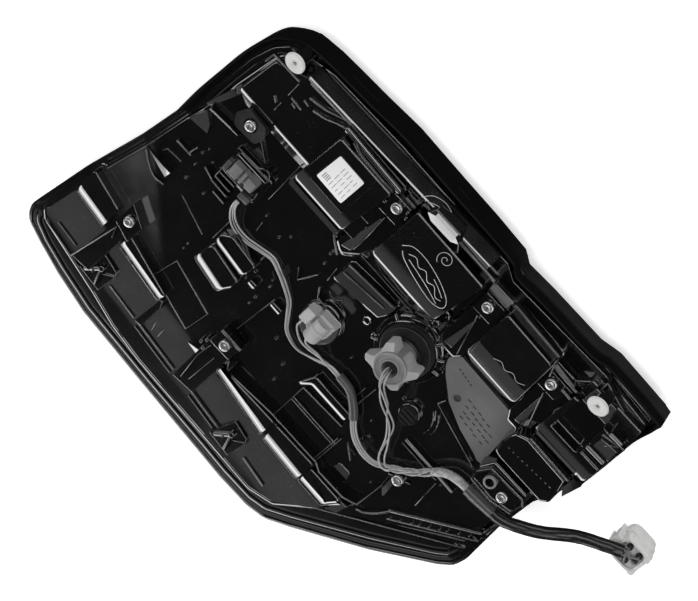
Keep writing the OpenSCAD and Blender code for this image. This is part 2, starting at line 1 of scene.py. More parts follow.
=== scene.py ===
import bpy
import json
import math
import random
import numpy as np
from mathutils import Vector, Matrix
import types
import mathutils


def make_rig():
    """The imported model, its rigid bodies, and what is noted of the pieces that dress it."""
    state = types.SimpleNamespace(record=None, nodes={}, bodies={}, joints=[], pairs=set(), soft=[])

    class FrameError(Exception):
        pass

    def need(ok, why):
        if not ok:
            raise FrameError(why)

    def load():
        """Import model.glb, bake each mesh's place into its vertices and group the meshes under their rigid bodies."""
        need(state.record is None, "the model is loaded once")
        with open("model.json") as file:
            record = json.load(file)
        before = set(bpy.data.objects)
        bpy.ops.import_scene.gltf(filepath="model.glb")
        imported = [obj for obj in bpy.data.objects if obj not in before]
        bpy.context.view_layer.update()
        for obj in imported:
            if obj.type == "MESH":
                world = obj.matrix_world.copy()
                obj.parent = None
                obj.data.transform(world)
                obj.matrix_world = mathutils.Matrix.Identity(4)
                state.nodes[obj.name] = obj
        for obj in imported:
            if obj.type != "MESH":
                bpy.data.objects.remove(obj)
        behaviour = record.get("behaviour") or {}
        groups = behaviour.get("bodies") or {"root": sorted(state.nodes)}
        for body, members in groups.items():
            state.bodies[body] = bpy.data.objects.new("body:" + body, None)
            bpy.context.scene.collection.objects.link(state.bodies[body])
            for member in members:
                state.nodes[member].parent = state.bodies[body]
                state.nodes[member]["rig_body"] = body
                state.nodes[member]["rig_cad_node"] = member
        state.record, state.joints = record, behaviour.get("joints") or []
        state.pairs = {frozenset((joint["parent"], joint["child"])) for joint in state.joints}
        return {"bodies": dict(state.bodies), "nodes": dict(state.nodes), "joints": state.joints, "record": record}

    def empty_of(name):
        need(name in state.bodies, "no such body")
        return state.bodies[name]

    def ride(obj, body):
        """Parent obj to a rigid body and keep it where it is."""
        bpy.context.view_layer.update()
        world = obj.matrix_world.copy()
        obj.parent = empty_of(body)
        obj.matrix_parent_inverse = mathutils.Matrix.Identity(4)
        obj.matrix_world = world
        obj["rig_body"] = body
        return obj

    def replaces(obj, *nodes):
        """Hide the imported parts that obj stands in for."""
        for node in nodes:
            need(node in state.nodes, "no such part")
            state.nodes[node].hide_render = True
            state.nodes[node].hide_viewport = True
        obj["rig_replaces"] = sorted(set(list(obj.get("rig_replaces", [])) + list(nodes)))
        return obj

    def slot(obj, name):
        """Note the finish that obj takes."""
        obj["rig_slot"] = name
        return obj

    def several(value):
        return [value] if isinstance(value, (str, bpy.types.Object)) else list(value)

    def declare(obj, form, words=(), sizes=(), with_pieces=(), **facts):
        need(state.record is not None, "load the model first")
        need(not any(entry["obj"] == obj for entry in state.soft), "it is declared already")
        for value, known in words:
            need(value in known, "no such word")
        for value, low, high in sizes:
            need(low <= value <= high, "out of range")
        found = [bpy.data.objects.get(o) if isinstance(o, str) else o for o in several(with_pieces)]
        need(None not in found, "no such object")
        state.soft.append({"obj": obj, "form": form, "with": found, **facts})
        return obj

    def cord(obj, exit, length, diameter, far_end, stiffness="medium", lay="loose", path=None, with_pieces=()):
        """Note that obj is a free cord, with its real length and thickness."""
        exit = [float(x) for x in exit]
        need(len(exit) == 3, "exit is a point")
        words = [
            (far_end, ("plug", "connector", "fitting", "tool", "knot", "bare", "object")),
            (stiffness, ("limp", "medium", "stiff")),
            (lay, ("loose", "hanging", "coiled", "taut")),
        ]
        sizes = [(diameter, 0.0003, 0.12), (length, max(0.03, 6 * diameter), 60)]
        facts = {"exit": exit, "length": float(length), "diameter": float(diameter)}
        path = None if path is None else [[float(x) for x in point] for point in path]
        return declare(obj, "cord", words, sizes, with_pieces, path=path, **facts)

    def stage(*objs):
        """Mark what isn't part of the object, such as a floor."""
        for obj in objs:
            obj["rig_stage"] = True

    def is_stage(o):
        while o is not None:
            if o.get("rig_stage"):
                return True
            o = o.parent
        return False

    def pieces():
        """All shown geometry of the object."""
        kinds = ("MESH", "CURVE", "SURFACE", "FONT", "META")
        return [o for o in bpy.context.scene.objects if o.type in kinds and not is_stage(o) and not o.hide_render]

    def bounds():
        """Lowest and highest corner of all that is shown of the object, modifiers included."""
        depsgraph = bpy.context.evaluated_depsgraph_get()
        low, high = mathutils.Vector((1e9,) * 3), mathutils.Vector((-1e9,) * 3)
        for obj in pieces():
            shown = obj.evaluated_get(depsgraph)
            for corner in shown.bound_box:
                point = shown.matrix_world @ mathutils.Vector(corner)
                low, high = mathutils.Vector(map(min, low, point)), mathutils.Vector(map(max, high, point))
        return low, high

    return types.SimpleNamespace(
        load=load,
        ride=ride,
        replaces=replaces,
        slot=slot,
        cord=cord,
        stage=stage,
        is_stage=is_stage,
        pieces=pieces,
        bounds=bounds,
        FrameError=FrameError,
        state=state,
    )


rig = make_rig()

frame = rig.load()
BOX0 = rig.bounds()
scene = bpy.context.scene
MM = 0.001

# ---------------------------------------------------------------- camera
PHI, TILT = math.radians(47.0), math.radians(32.0)
RIGHT = Vector((math.cos(PHI), math.sin(PHI) * math.cos(TILT), -math.sin(PHI) * math.sin(TILT)))
UP = Vector((-math.sin(PHI), math.cos(PHI) * math.cos(TILT), -math.cos(PHI) * math.sin(TILT)))
BACK = Vector((0.0, math.sin(TILT), math.cos(TILT)))
cam_data = bpy.data.cameras.new("camera")
cam = bpy.data.objects.new("camera", cam_data)
scene.collection.objects.link(cam)
cam_data.sensor_fit = "HORIZONTAL"
cam_data.sensor_width = 36.0
cam_data.lens = 2000.0 * 36.0 / 698.0
cam_data.clip_start, cam_data.clip_end = 0.05, 50.0
rot = Matrix((RIGHT, UP, BACK)).transposed().to_4x4()
cam.matrix_world = Matrix.Translation(Vector((0.005, 0.044, 0.045)) + 1.5 * BACK) @ rot
scene.camera = cam

# ---------------------------------------------------------------- small maths


def unit3(v):
    v = np.asarray(v, float)
    return v / np.linalg.norm(v)


def smooth_path(pts, per=6):
    """Catmull-Rom curve through the points."""
    p = [np.asarray(q, float) for q in pts]
    p = [2 * p[0] - p[1]] + p + [2 * p[-1] - p[-2]]
    out = []
    for i in range(1, len(p) - 2):
        a, b, c, d = p[i - 1], p[i], p[i + 1], p[i + 2]
        for k in range(per):
            t = k / per
            out.append(0.5 * ((2 * b) + (c - a) * t + (2 * a - 5 * b + 4 * c - d) * t * t + (3 * b - a - 3 * c + d) * t ** 3))
    out.append(p[-2])
    return np.array(out)


def tangents(p):
    t = np.empty_like(p)
    t[1:-1] = p[2:] - p[:-2]
    t[0], t[-1] = p[1] - p[0], p[-1] - p[-2]
    return t / np.linalg.norm(t, axis=1)[:, None]


def path_frame(p):
    t = tangents(p)
    side = np.cross(t, np.array([0.001, 0.002, 1.0]))
    side /= np.linalg.norm(side, axis=1)[:, None]
    return t, side, np.cross(side, t)


def beside(p, a, b):
    t, s, o = path_frame(np.asarray(p, float))
    return np.asarray(p, float) + a * s + b * o


# ---------------------------------------------------------------- mesh building (millimetres)


class Shape:
    """Vertices and faces of closed shells."""

    def __init__(self):
        self.v, self.f = [], []

    def add(self, verts, faces):
        n = len(self.v)
        self.v.extend([tuple(map(float, q)) for q in verts])
        self.f.extend([[i + n for i in g] for g in faces])
        return self


def skin(rings, cap=True):
    """Closed shell over equal rings that turn counter-clockwise seen from the last one."""
    n = len(rings[0])
    verts = [q for r in rings for q in r]
    faces = []
    for i in range(len(rings) - 1):
        for k in range(n):
            j = (k + 1) % n
            faces.append([i * n + k, i * n + j, (i + 1) * n + j, (i + 1) * n + k])
    if cap:
        faces.append(list(range(n))[::-1])
        faces.append([(len(rings) - 1) * n + k for k in range(n)])
    return verts, faces


def outline(poly, d=0.0, seg=5, dw=None, face=(0.0, -1.0)):
    """Rounded outline of a counter-clockwise polygon of (x, y, r), drawn in by d.

    Edges that look along face are drawn in by dw instead."""
    n = len(poly)
    dw = d if dw is None else dw

    def gap(ex, ey):
        if dw == d:
            return d
        w = (ey * face[0] - ex * face[1] - 0.35) / 0.4
        w = min(1.0, max(0.0, w))
        return d + (dw - d) * w * w * (3 - 2 * w)

    out = []
    for i in range(n):
        x0, y0 = poly[i - 1][:2]
        x1, y1 = poly[i][:2]
        r = poly[i][2] if len(poly[i]) > 2 else 0.5
        x2, y2 = poly[(i + 1) % n][:2]
        l1, l2 = math.hypot(x1 - x0, y1 - y0), math.hypot(x2 - x1, y2 - y1)
        e1, e2 = ((x1 - x0) / l1, (y1 - y0) / l1), ((x2 - x1) / l2, (y2 - y1) / l2)
        n1, n2 = (-e1[1], e1[0]), (-e2[1], e2[0])
        cr, dt = e1[0] * e2[1] - e1[1] * e2[0], e1[0] * e2[0] + e1[1] * e2[1]
        k = 1.0 / max(1 + dt, 0.15)
        bx, by = (n1[0] + n2[0]) * k, (n1[1] + n2[1]) * k
        d1, d2 = gap(*e1), gap(*e2)
        dm = (d1 + d2) / 2
        if abs(cr) > 0.05 and d1 != d2:
            mx, my = x1 + (d1 * e2[0] - d2 * e1[0]) / cr, y1 + (d1 * e2[1] - d2 * e1[1]) / cr
        else:
            mx, my = x1 + bx * dm, y1 + by * dm
        ang = math.atan2(cr, dt)
        if abs(ang) < 0.03:
            out.append((mx, my))
            continue
        th = math.tan(abs(ang) / 2)
        r0 = min(r, 0.46 * min(l1, l2) / th)
        rr = max(r0 - min(d1, d2) if cr > 0 else r0 + dm, 0.05)
        s = max(1, int(math.ceil(abs(ang) / (math.pi / 2) * seg)))
        sg = 1.0 if cr > 0 else -1.0
        cx, cy = mx + sg * bx * rr, my + sg * by * rr
        ax, ay = -sg * n1[0] * rr, -sg * n1[1] * rr
        for j in range(s + 1):
            a = ang * j / s
            out.append((cx + ax * math.cos(a) - ay * math.sin(a), cy + ax * math.sin(a) + ay * math.cos(a)))
    return out


def edge_curve(arcs, n=4):
    """Distance out and drop along an edge that bends through (angle, radius) arcs from the flat top."""
    x = y = a = 0.0
    pts = [(0.0, 0.0)]
    for ang, r in arcs:
        e = math.radians(ang)
        for k in range(1, n + 1):
            t = a + (e - a) * k / n
            pts.append((x + r * (math.sin(t) - math.sin(a)), y + r * (math.cos(a) - math.cos(t))))
        x, y = pts[-1]
        a = e
    return pts


def prism(poly, z0, z1, r=1.2, base=1.5, draft=0.05, seg=5, steps=4, sink=1.5, top=None, crown=0.0, crown_d=0.0, crown_n=5,
          wide=0.0, wang=(11, 27), face=(0.0, -1.0), slope=86.0, soft=1.6, glow=0.0):
    """A moulded block: flared foot, drafted wall, rounded and crowned top.

    wide is the width of a broad soft shoulder on the edges that look along face, slope the angle
    of the flank below it, and glow the width of a faint fall of the top before the shoulder."""
    r = max(r, 0.02)
    low = []
    if base > 0.05:
        low.append((-base, z0 - sink))
        for k in range(steps + 1):
            a = math.pi / 2 * (0.12 + 0.88 * k / steps)
            low.append((-base + base * math.sin(a), z0 + base - base * math.cos(a)))
    else:
        low.append((0.0, z0 - sink))
    w = draft * max(z1 - r - z0 - base, 0.0)
    nar = list(low)
    for k in range(steps + 1):
        a = math.pi / 2 * k / steps
        nar.append((w + r - r * math.cos(a), z1 - r + r * math.sin(a)))
    if wide > 0:
        s0, s1 = math.sin(math.radians(wang[0])), math.sin(math.radians(wang[1]))
        lead = [(wang[0], 2.5)] if glow <= 0 else [(5, 6.0), (wang[0], glow / (s0 - math.sin(math.radians(5))))]
        pts = edge_curve(lead + [(wang[1], wide / (s1 - s0)), (slope, soft)], 4)
        sc = min(1.0, max(z1 - z0 - 0.4, 0.4) / pts[-1][1])
        fl = math.radians(slope)
        bb = min(max(base, 0.3), max(z1 - z0 - pts[-1][1] * sc, 0.0) * 0.6 / (1 - math.cos(fl)) + 0.05)
        drop = max(z1 - z0 - pts[-1][1] * sc - bb * (1 - math.cos(fl)), 0.0)
        run = drop / math.tan(fl)
        tot = pts[-1][0] + run
        # the top of the flank stays on the outline: what lies below it flares out
        wid = [(pts[-1][0] - q[0], z1 - q[1] * sc) for q in pts][::-1]
        foot = []
        for k in range(5):
            a = fl * (0.12 + 0.88 * k / 4)
            foot.append((-run - bb * (math.sin(fl) - math.sin(a)), z0 + bb * (1 - math.cos(a))))
        wid = [(foot[0][0] - 0.3, z0 - sink)] + foot + wid
        zs = sorted([z for _, z in nar] + [z for _, z in wid])
        keep = [zs[0]]
        for z in zs[1:]:
            if z - keep[-1] > 0.03:
                keep.append(z)
        keep[-1] = z1
        nz, nd = [q[1] for q in nar], [q[0] for q in nar]
        wz, wd = [q[1] for q in wid], [q[0] for q in wid]
        prof = [(float(np.interp(z, nz, nd)), float(np.interp(z, wz, wd)), z) for z in keep]
    else:
        prof = [(d, d, z) for d, z in nar]
    if crown and crown_d > 0:
        dn, dw_, _ = prof[-1]
        for k in range(1, crown_n + 1):
            t = k / crown_n
            prof.append((dn + crown_d * t, dw_ + crown_d * t, z1 + crown * (1 - (1 - t) ** 2)))
    rings = []
    for d, dwide, z in prof:
        ring = []
        for x, y in outline(poly, d, seg, dwide, face):
            zz = z
            if top is not None:
                zz = z0 + (z - z0) * (top(x, y) - z0) / (z1 - z0) if z > z0 else z
            ring.append((x, y, zz))
        rings.append(ring)
    return skin(rings)


def pocket(poly, z_floor, z_top, r=0.8, rb=0.8, draft=0.05, seg=5, steps=3, above=12.0, floor=None):
    """The cutter of a recess with a rounded rim and a rounded floor edge. d > 0 is outwards here."""
    prof = [(rb, z_floor)]
    for k in range(1, steps + 1):
        a = math.pi / 2 * k / steps
        prof.append((rb - rb * math.sin(a), z_floor + rb - rb * math.cos(a)))
    prof = [(-d - 0.0, z) for d, z in [(rb, z_floor)]]
    prof = []
    for k in range(steps + 1):
        a = math.pi / 2 * k / steps
        prof.append((rb * (1 - math.sin(a)), z_floor + rb * (1 - math.cos(a))))
    w = draft * max(z_top - r - z_floor - rb, 0.0)
    for k in range(steps + 1):
        a = math.pi / 2 * k / steps
        prof.append((-w - r * (1 - math.cos(a)), z_top - r + r * math.sin(a)))
    prof.append((-w - r, z_top + above))
    rings = []
    for d, z in prof:
        rings.append([(x, y, z if floor is None or z > z_top - r else z + floor(x, y)) for x, y in outline(poly, d, seg)])
    return skin(rings)


def rect(x0, x1, y0, y1, r=2.0):
    return [(x0, y0, r), (x1, y0, r), (x1, y1, r), (x0, y1, r)]


def bar_poly(a, b, w, r=None):
    """Counter-clockwise rectangle of width w round the line from a to b."""
    ax, ay = a
    bx, by = b
    l = math.hypot(bx - ax, by - ay)
    ex, ey = (bx - ax) / l, (by - ay) / l
    nx, ny = -ey * w / 2, ex * w / 2
    r = w * 0.45 if r is None else r
    return [(ax - nx, ay - ny, r), (bx - nx, by - ny, r), (bx + nx, by + ny, r), (ax + nx, ay + ny, r)]


def bar(a, b, w, z0, z1, r=None, base=1.0, za=None):
    """A rib. With za the top runs from za at a to z1 at b."""
    r = min(w * 0.42, 1.2) if r is None else r
    top = None
    if za is not None:
        l2 = (b[0] - a[0]) ** 2 + (b[1] - a[1]) ** 2
        top = lambda x, y: za + (z1 - za) * min(1, max(0, ((x - a[0]) * (b[0] - a[0]) + (y - a[1]) * (b[1] - a[1])) / l2))
    return prism(bar_poly(a, b, w), z0, z1, r, base, 0.03, 4, 3, top=top)


def circle(cx, cy, r, n=48):
    return [(cx + r * math.cos(2 * math.pi * k / n), cy + r * math.sin(2 * math.pi * k / n)) for k in range(n)]


def lathe(cx, cy, prof, n=64):
    """A turned shell: prof is (radius, z) from the bottom's axis to the top's axis, without the axis points."""
    return skin([[(x, y, z) for x, y in circle(cx, cy, r, n)] for r, z in prof])


def boss(cx, cy, r, z0, z1, rt=0.8, base=1.5, draft=0.04, n=48, steps=4, sink=1.5):
    prof = [(r + base, z0 - sink)]
    for k in range(steps + 1):
        a = math.pi / 2 * (0.12 + 0.88 * k / steps)
        prof.append((r + base - base * math.sin(a), z0 + base - base * math.cos(a)))
    w = draft * max(z1 - rt - z0 - base, 0)
    for k in range(steps + 1):
        a = math.pi / 2 * k / steps
        prof.append((r - w - rt + rt * math.cos(a), z1 - rt + rt * math.sin(a)))
    return lathe(cx, cy, prof, n)


def ring_torus(cx, cy, z, rr, r, n=64, m=10):
    """A closed bead round an axis along Z."""
    v, f = [], []
    for i in range(n):
        a = 2 * math.pi * i / n
        for k in range(m):
            b = 2 * math.pi * k / m
            q = rr + r * math.cos(b)
            v.append((cx + q * math.cos(a), cy + q * math.sin(a), z + r * math.sin(b)))
    for i in range(n):
        for k in range(m):
            f.append([i * m + k, ((i + 1) % n) * m + k, ((i + 1) % n) * m + (k + 1) % m, i * m + (k + 1) % m])
    return v, f


def tube(path, r, n=10, rz=None, ends=True):
    """A round or flat tube along a path. r and rz may be lists."""
    p = np.asarray(path, float)
    t, s, o = path_frame(p)
    m = len(p)
    ra = np.broadcast_to(np.asarray(r, float), (m,))
    rb = ra if rz is None else np.broadcast_to(np.asarray(rz, float), (m,))
    rings = []
    for i in range(m):
        rings.append([tuple(p[i] + ra[i] * math.cos(2 * math.pi * (k + 0.5) / n) * s[i] - rb[i] * math.sin(2 * math.pi * (k + 0.5) / n) * o[i]) for k in range(n)])
    v, f = skin(rings)
    return v, [g[::-1] for g in f]


def oriented(shape, origin, zdir, xdir=None):
    """Moves a shape made round +Z so that its +Z points along zdir."""
    z = unit3(zdir)
    x = np.array([1.0, 0, 0]) if xdir is None else np.asarray(xdir, float)
    x = unit3(x - z * np.dot(x, z))
    y = np.cross(z, x)
    o = np.asarray(origin, float)
    v, f = shape
    return [tuple(o + q[0] * x + q[1] * y + q[2] * z) for q in v], f


def leaned(shape, p, deg=20.0):
    """Tilts a shape made round +Z towards -Y, like the pads, and moves it to p."""
    a = math.radians(deg)
    v, f = shape
    return [(p[0] + x, p[1] + y * math.cos(a) - z * math.sin(a), p[2] + y * math.sin(a) + z * math.cos(a)) for x, y, z in v], f


def mesh_of(name, verts, faces):
    me = bpy.data.meshes.new(name)
    me.from_pydata([(x * MM, y * MM, z * MM) for x, y, z in verts], [], faces)
    me.update()
    return me


def obj_of(name, shells, mat=None, angle=35.0, smooth=True):
    s = Shape()
    for v, f in shells:
        s.add(v, f)
    ob = bpy.data.objects.new(name, mesh_of(name, s.v, s.f))
    scene.collection.objects.link(ob)
    finish_mesh(ob, mat, angle, smooth)
    return ob


def finish_mesh(ob, mat, angle=35.0, smooth=True):
    me = ob.data
    me.validate()
    if smooth:
        me.shade_smooth()
        me.set_sharp_from_angle(angle=math.radians(angle))
    if mat is not None:
        me.materials.clear()
        me.materials.append(mat)


def weighted(ob):
    m = ob.modifiers.new("normals", "WEIGHTED_NORMAL")
    m.keep_sharp = True
    m.weight = 60
    m.mode = "FACE_AREA_WITH_ANGLE"


def temp_obj(v, f, name="temp"):
    ob = bpy.data.objects.new(name, mesh_of(name, v, f))
    scene.collection.objects.link(ob)
    return ob


def boolean(a, b, op):
    """a op b by the manifold solver; b is used up."""
    m = a.modifiers.new("b", "BOOLEAN")
    m.operation = op
    m.solver = "MANIFOLD"
    m.object = b
    dg = bpy.context.evaluated_depsgraph_get()
    me = bpy.data.meshes.new_from_object(a.evaluated_get(dg))
    a.modifiers.clear()
    old = a.data
    a.data = me
    bpy.data.meshes.remove(old)
    bd = b.data
    bpy.data.objects.remove(b)
    bpy.data.meshes.remove(bd)
    return a


def merge(shells, name):
    """One closed mesh from many closed shells that overlap, joined in pairs."""
    obs = [temp_obj(v, f, name) for v, f in shells]
    while len(obs) > 1:
        nxt = []
        for i in range(0, len(obs) - 1, 2):
            nxt.append(boolean(obs[i], obs[i + 1], "UNION"))
        if len(obs) % 2:
            nxt.append(obs[-1])
        obs = nxt
    obs[0].name = name
    return obs[0]


# ---------------------------------------------------------------- materials


def new_mat(name):
    m = bpy.data.materials.new(name)
    m.use_nodes = True
    nt = m.node_tree
    nt.nodes.clear()
    out = nt.nodes.new("ShaderNodeOutputMaterial")
    b = nt.nodes.new("ShaderNodeBsdfPrincipled")
    nt.links.new(b.outputs[0], out.inputs[0])
    return m, nt, b


def node(nt, kind, **props):
    n = nt.nodes.new(kind)
    for k, v in props.items():
        if k in n.inputs:
            n.inputs[k].default_value = v
        else:
            setattr(n, k, v)
    return n


def coords(nt, scale=(1, 1, 1)):
    tc = nt.nodes.new("ShaderNodeTexCoord")
    mp = nt.nodes.new("ShaderNodeMapping")
    mp.inputs["Scale"].default_value = scale
    nt.links.new(tc.outputs["Object"], mp.inputs["Vector"])
    return mp.outputs[0]


def noise(nt, vec, scale, detail=3.0, rough=0.5):
    n = nt.nodes.new("ShaderNodeTexNoise")
    n.inputs["Scale"].default_value = scale
    n.inputs["Detail"].default_value = detail
    n.inputs["Roughness"].default_value = rough
    nt.links.new(vec, n.inputs["Vector"])
    return n.outputs[0]


def ramp(nt, fac, stops):
    r = nt.nodes.new("ShaderNodeValToRGB")
    els = r.color_ramp.elements
    while len(els) > 1:
        els.remove(els[-1])
    for i, (p, c) in enumerate(stops):
        e = els[0] if i == 0 else els.new(p)
        e.position = p
        e.color = (c, c, c, 1) if not isinstance(c, tuple) else (*c, 1)
    nt.links.new(fac, r.inputs[0])
    return r.outputs[0]


def mix_rgb(nt, fac, a, b, mode="MIX"):
    m = nt.nodes.new("ShaderNodeMix")
    m.data_type = "RGBA"
    m.blend_type = mode
    if isinstance(fac, (int, float)):
        m.inputs[0].default_value = fac
    else:
        nt.links.new(fac, m.inputs[0])
    for sock, val in ((m.inputs[6], a), (m.inputs[7], b)):
        if isinstance(val, tuple):
            sock.default_value = (*val, 1)
        else:
            nt.links.new(val, sock)
    return m.outputs[2]


def bump(nt, b, height, strength, dist, prev=None):
    n = nt.nodes.new("ShaderNodeBump")
    n.inputs["Strength"].default_value = strength
    n.inputs["Distance"].default_value = dist
    nt.links.new(height, n.inputs["Height"])
    if prev is not None:
        nt.links.new(prev, n.inputs["Normal"])
    return n.outputs[0]


def plastic(name, col, rough, var=0.06, dust=0.0, dust_col=(0.25, 0.25, 0.25), wave=0.0, fine=0.02, spec=0.5, scratch=0.0, mottle=0.12):
    """Moulded plastic with uneven gloss, faint waviness, scratches and dust."""
    m, nt, b = new_mat(name)
    vec = coords(nt)
    n1 = noise(nt, vec, 38, 5, 0.6)
    n2 = noise(nt, vec, 420, 3, 0.6)
    base = mix_rgb(nt, ramp(nt, n1, [(0.3, 0.0), (0.7, 1.0)]), tuple(c * (1 - mottle) for c in col), tuple(min(1, c * (1 + mottle)) for c in col))
    rg = ramp(nt, n1, [(0.25, max(rough - var, 0.02)), (0.75, rough + var)])
    if dust > 0:
        nd = noise(nt, vec, 900, 2, 0.7)
        nl = noise(nt, vec, 24, 3, 0.6)
        mask = mix_rgb(nt, 1.0, ramp(nt, nd, [(0.62, 0.0), (0.70, 1.0)]), ramp(nt, nl, [(0.42, 0.0), (0.72, 1.0)]), "MULTIPLY")
        mask = mix_rgb(nt, 1.0, mask, (dust, dust, dust), "MULTIPLY")
        base = mix_rgb(nt, mask, base, dust_col)
        rg = mix_rgb(nt, mask, rg, (0.8, 0.8, 0.8))
    if scratch > 0:
        sv = coords(nt, (1.0, 0.06, 1.0))
        rt = nt.nodes.new("ShaderNodeVectorRotate")
        rt.rotation_type = "Z_AXIS"
        rt.inputs["Angle"].default_value = 0.6
        nt.links.new(sv, rt.inputs["Vector"])
        ns = noise(nt, rt.outputs[0], 1500, 1, 0.5)
        ms = ramp(nt, ns, [(0.70, 0.0), (0.74, 1.0)])
        ms = mix_rgb(nt, 1.0, ms, (scratch, scratch, scratch), "MULTIPLY")
        rg = mix_rgb(nt, ms, rg, (0.55, 0.55, 0.55))
    nt.links.new(base, b.inputs["Base Color"])
    nt.links.new(rg, b.inputs["Roughness"])
    b.inputs["Specular IOR Level"].default_value = spec
    nrm = None
    if wave > 0:
        nrm = bump(nt, b, noise(nt, vec, 22, 2, 0.4), wave, 0.004, nrm)
    if fine > 0:
        nrm = bump(nt, b, n2, fine, 0.0004, nrm)
    if nrm is not None:
        nt.links.new(nrm, b.inputs["Normal"])
    return m


M_BLACK = plastic("black_gloss", (0.0028, 0.0028, 0.0029), 0.13, 0.04, dust=0.30, dust_col=(0.08, 0.08, 0.08), wave=0.10, fine=0.03, scratch=0.30, spec=0.9)


def band_mask(nt, value, lo, hi, soft):
    """1 between lo and hi (metres), fading over soft."""
    up, dn = nt.nodes.new("ShaderNodeMapRange"), nt.nodes.new("ShaderNodeMapRange")
    for n, a0, a1 in ((up, lo - soft, lo + soft), (dn, hi + soft, hi - soft)):
        n.interpolation_type = "SMOOTHSTEP"
        n.inputs["From Min"].default_value = a0
        n.inputs["From Max"].default_value = a1
        nt.links.new(value, n.inputs["Value"])
    m = nt.nodes.new("ShaderNodeMath")
    m.operation = "MULTIPLY"
    nt.links.new(up.outputs[0], m.inputs[0])
    nt.links.new(dn.outputs[0], m.inputs[1])
    return m.outputs[0]


def calc(nt, op, a, b_):
    m = nt.nodes.new("ShaderNodeMath")
    m.operation = op
    for k, q in enumerate((a, b_)):
        if isinstance(q, (int, float)):
            m.inputs[k].default_value = q
        else:
            nt.links.new(q, m.inputs[k])
    return m.outputs[0]


def painted_reflection(mat, zones, col):
    """Painted reflection: lighter zones of a plastic that stand in for reflected light, each a function of its object
    coordinates.
    """
    nt = mat.node_tree
    b = [n for n in nt.nodes if n.type == "BSDF_PRINCIPLED"][0]
    tc = nt.nodes.new("ShaderNodeTexCoord")
    xyz = nt.nodes.new("ShaderNodeSeparateXYZ")
    nt.links.new(tc.outputs["Object"], xyz.inputs[0])
    X, Y, Z = xyz.outputs
    total = None
    for amount, zone in zones:
        m = None
        for expr, lo, hi, soft in zone:
            val = calc(nt, "ADD", calc(nt, "MULTIPLY", X, expr[0]), calc(nt, "ADD", calc(nt, "MULTIPLY", Y, expr[1]), calc(nt, "MULTIPLY", Z, expr[2])))
            k = band_mask(nt, val, lo, hi, soft)
            m = k if m is None else calc(nt, "MULTIPLY", m, k)
        m = calc(nt, "MULTIPLY", m, amount)
        total = m if total is None else calc(nt, "MAXIMUM", total, m)
    patch = ramp(nt, noise(nt, tc.outputs["Object"], 55, 5, 0.65), [(0.25, 0.45), (0.7, 1.0)])
    total = calc(nt, "MULTIPLY", total, patch)
    for sock, target in (("Base Color", col), ("Roughness", (0.5, 0.5, 0.5))):
        old = b.inputs[sock].links[0].from_socket
        nt.links.new(mix_rgb(nt, total, old, target), b.inputs[sock])


# painted reflection on the black plastic: lighter grey in the low corner of the field, along the band by the skirt and
# at its right end
painted_reflection(M_BLACK, [
    (1.0, [((1, 0.945, 0), -0.40, -0.1744, 0.007), ((0, 1, 0), -0.060, 0.012, 0.010), ((0, 0, 1), 0.036, 0.0412, 0.0006)]),
    (0.22, [((0, 1, 0), 0.1568, 0.20, 0.0012), ((1, 0, 0), -0.128, 0.30, 0.004)]),
    (0.5, [((1, 0, 0), 0.16, 0.30, 0.004), ((0, 1, 0), 0.1475, 0.20, 0.002), ((0, 0, 1), 0.0, 0.052, 0.002)]),
], (0.012, 0.012, 0.0122))
for n_ in M_BLACK.node_tree.nodes:
    if n_.type == "BSDF_PRINCIPLED":
        n_.inputs["Coat Weight"].default_value = 1.0
        n_.inputs["Coat Roughness"].default_value = 0.095
        n_.inputs["Coat IOR"].default_value = 1.7
M_SKIRT = plastic("black_satin", (0.0030, 0.0030, 0.0031), 0.40, 0.06, dust=0.2, dust_col=(0.05, 0.05, 0.05), wave=0.02, fine=0.05, spec=0.10)
# painted sheen on the skirt: its lower wall is painted lighter from x = 75 mm on
painted_reflection(M_SKIRT, [(1.0, [((1, 0, 0), 0.075, 0.30, 0.03), ((0, 0, 1), 0.0, 0.030, 0.003)])], (0.018, 0.018, 0.0183))
# lighter strips on the rib tops: partly edge wear, partly a painted highlight along the edges
M_WEAR_HIGHLIGHT, nt, b = new_mat("edge_wear_and_painted_highlight")
vec = coords(nt)
wear_highlight_f = calc(nt, "MULTIPLY", ramp(nt, noise(nt, vec, 26, 4, 0.6), [(0.38, 0.0), (0.66, 1.0)]), ramp(nt, noise(nt, vec, 210, 3, 0.6), [(0.3, 0.35), (0.62, 1.0)]))
nt.links.new(mix_rgb(nt, wear_highlight_f, (0.006, 0.006, 0.006), (0.115, 0.115, 0.116)), b.inputs["Base Color"])
nt.links.new(ramp(nt, noise(nt, vec, 90, 3), [(0.3, 0.22), (0.7, 0.40)]), b.inputs["Roughness"])
b.inputs["Specular IOR Level"].default_value = 0.8
M_TAB = plastic("rubbed_tab", (0.018, 0.018, 0.018), 0.34, 0.10, dust=0.8, dust_col=(0.12, 0.12, 0.12), fine=0.25, mottle=0.8)
M_DGREY = plastic("dark_grey_plastic", (0.062, 0.062, 0.063), 0.36, 0.06, dust=0.3, dust_col=(0.10, 0.10, 0.10), fine=0.10)
M_FROST = plastic("frosted_panel", (0.125, 0.125, 0.126), 0.50, 0.05, dust=0.3, fine=0.35, wave=0.02)
M_DARK = plastic("dark_plastic", (0.010, 0.010, 0.010), 0.34, 0.07, dust=0.3, fine=0.08)
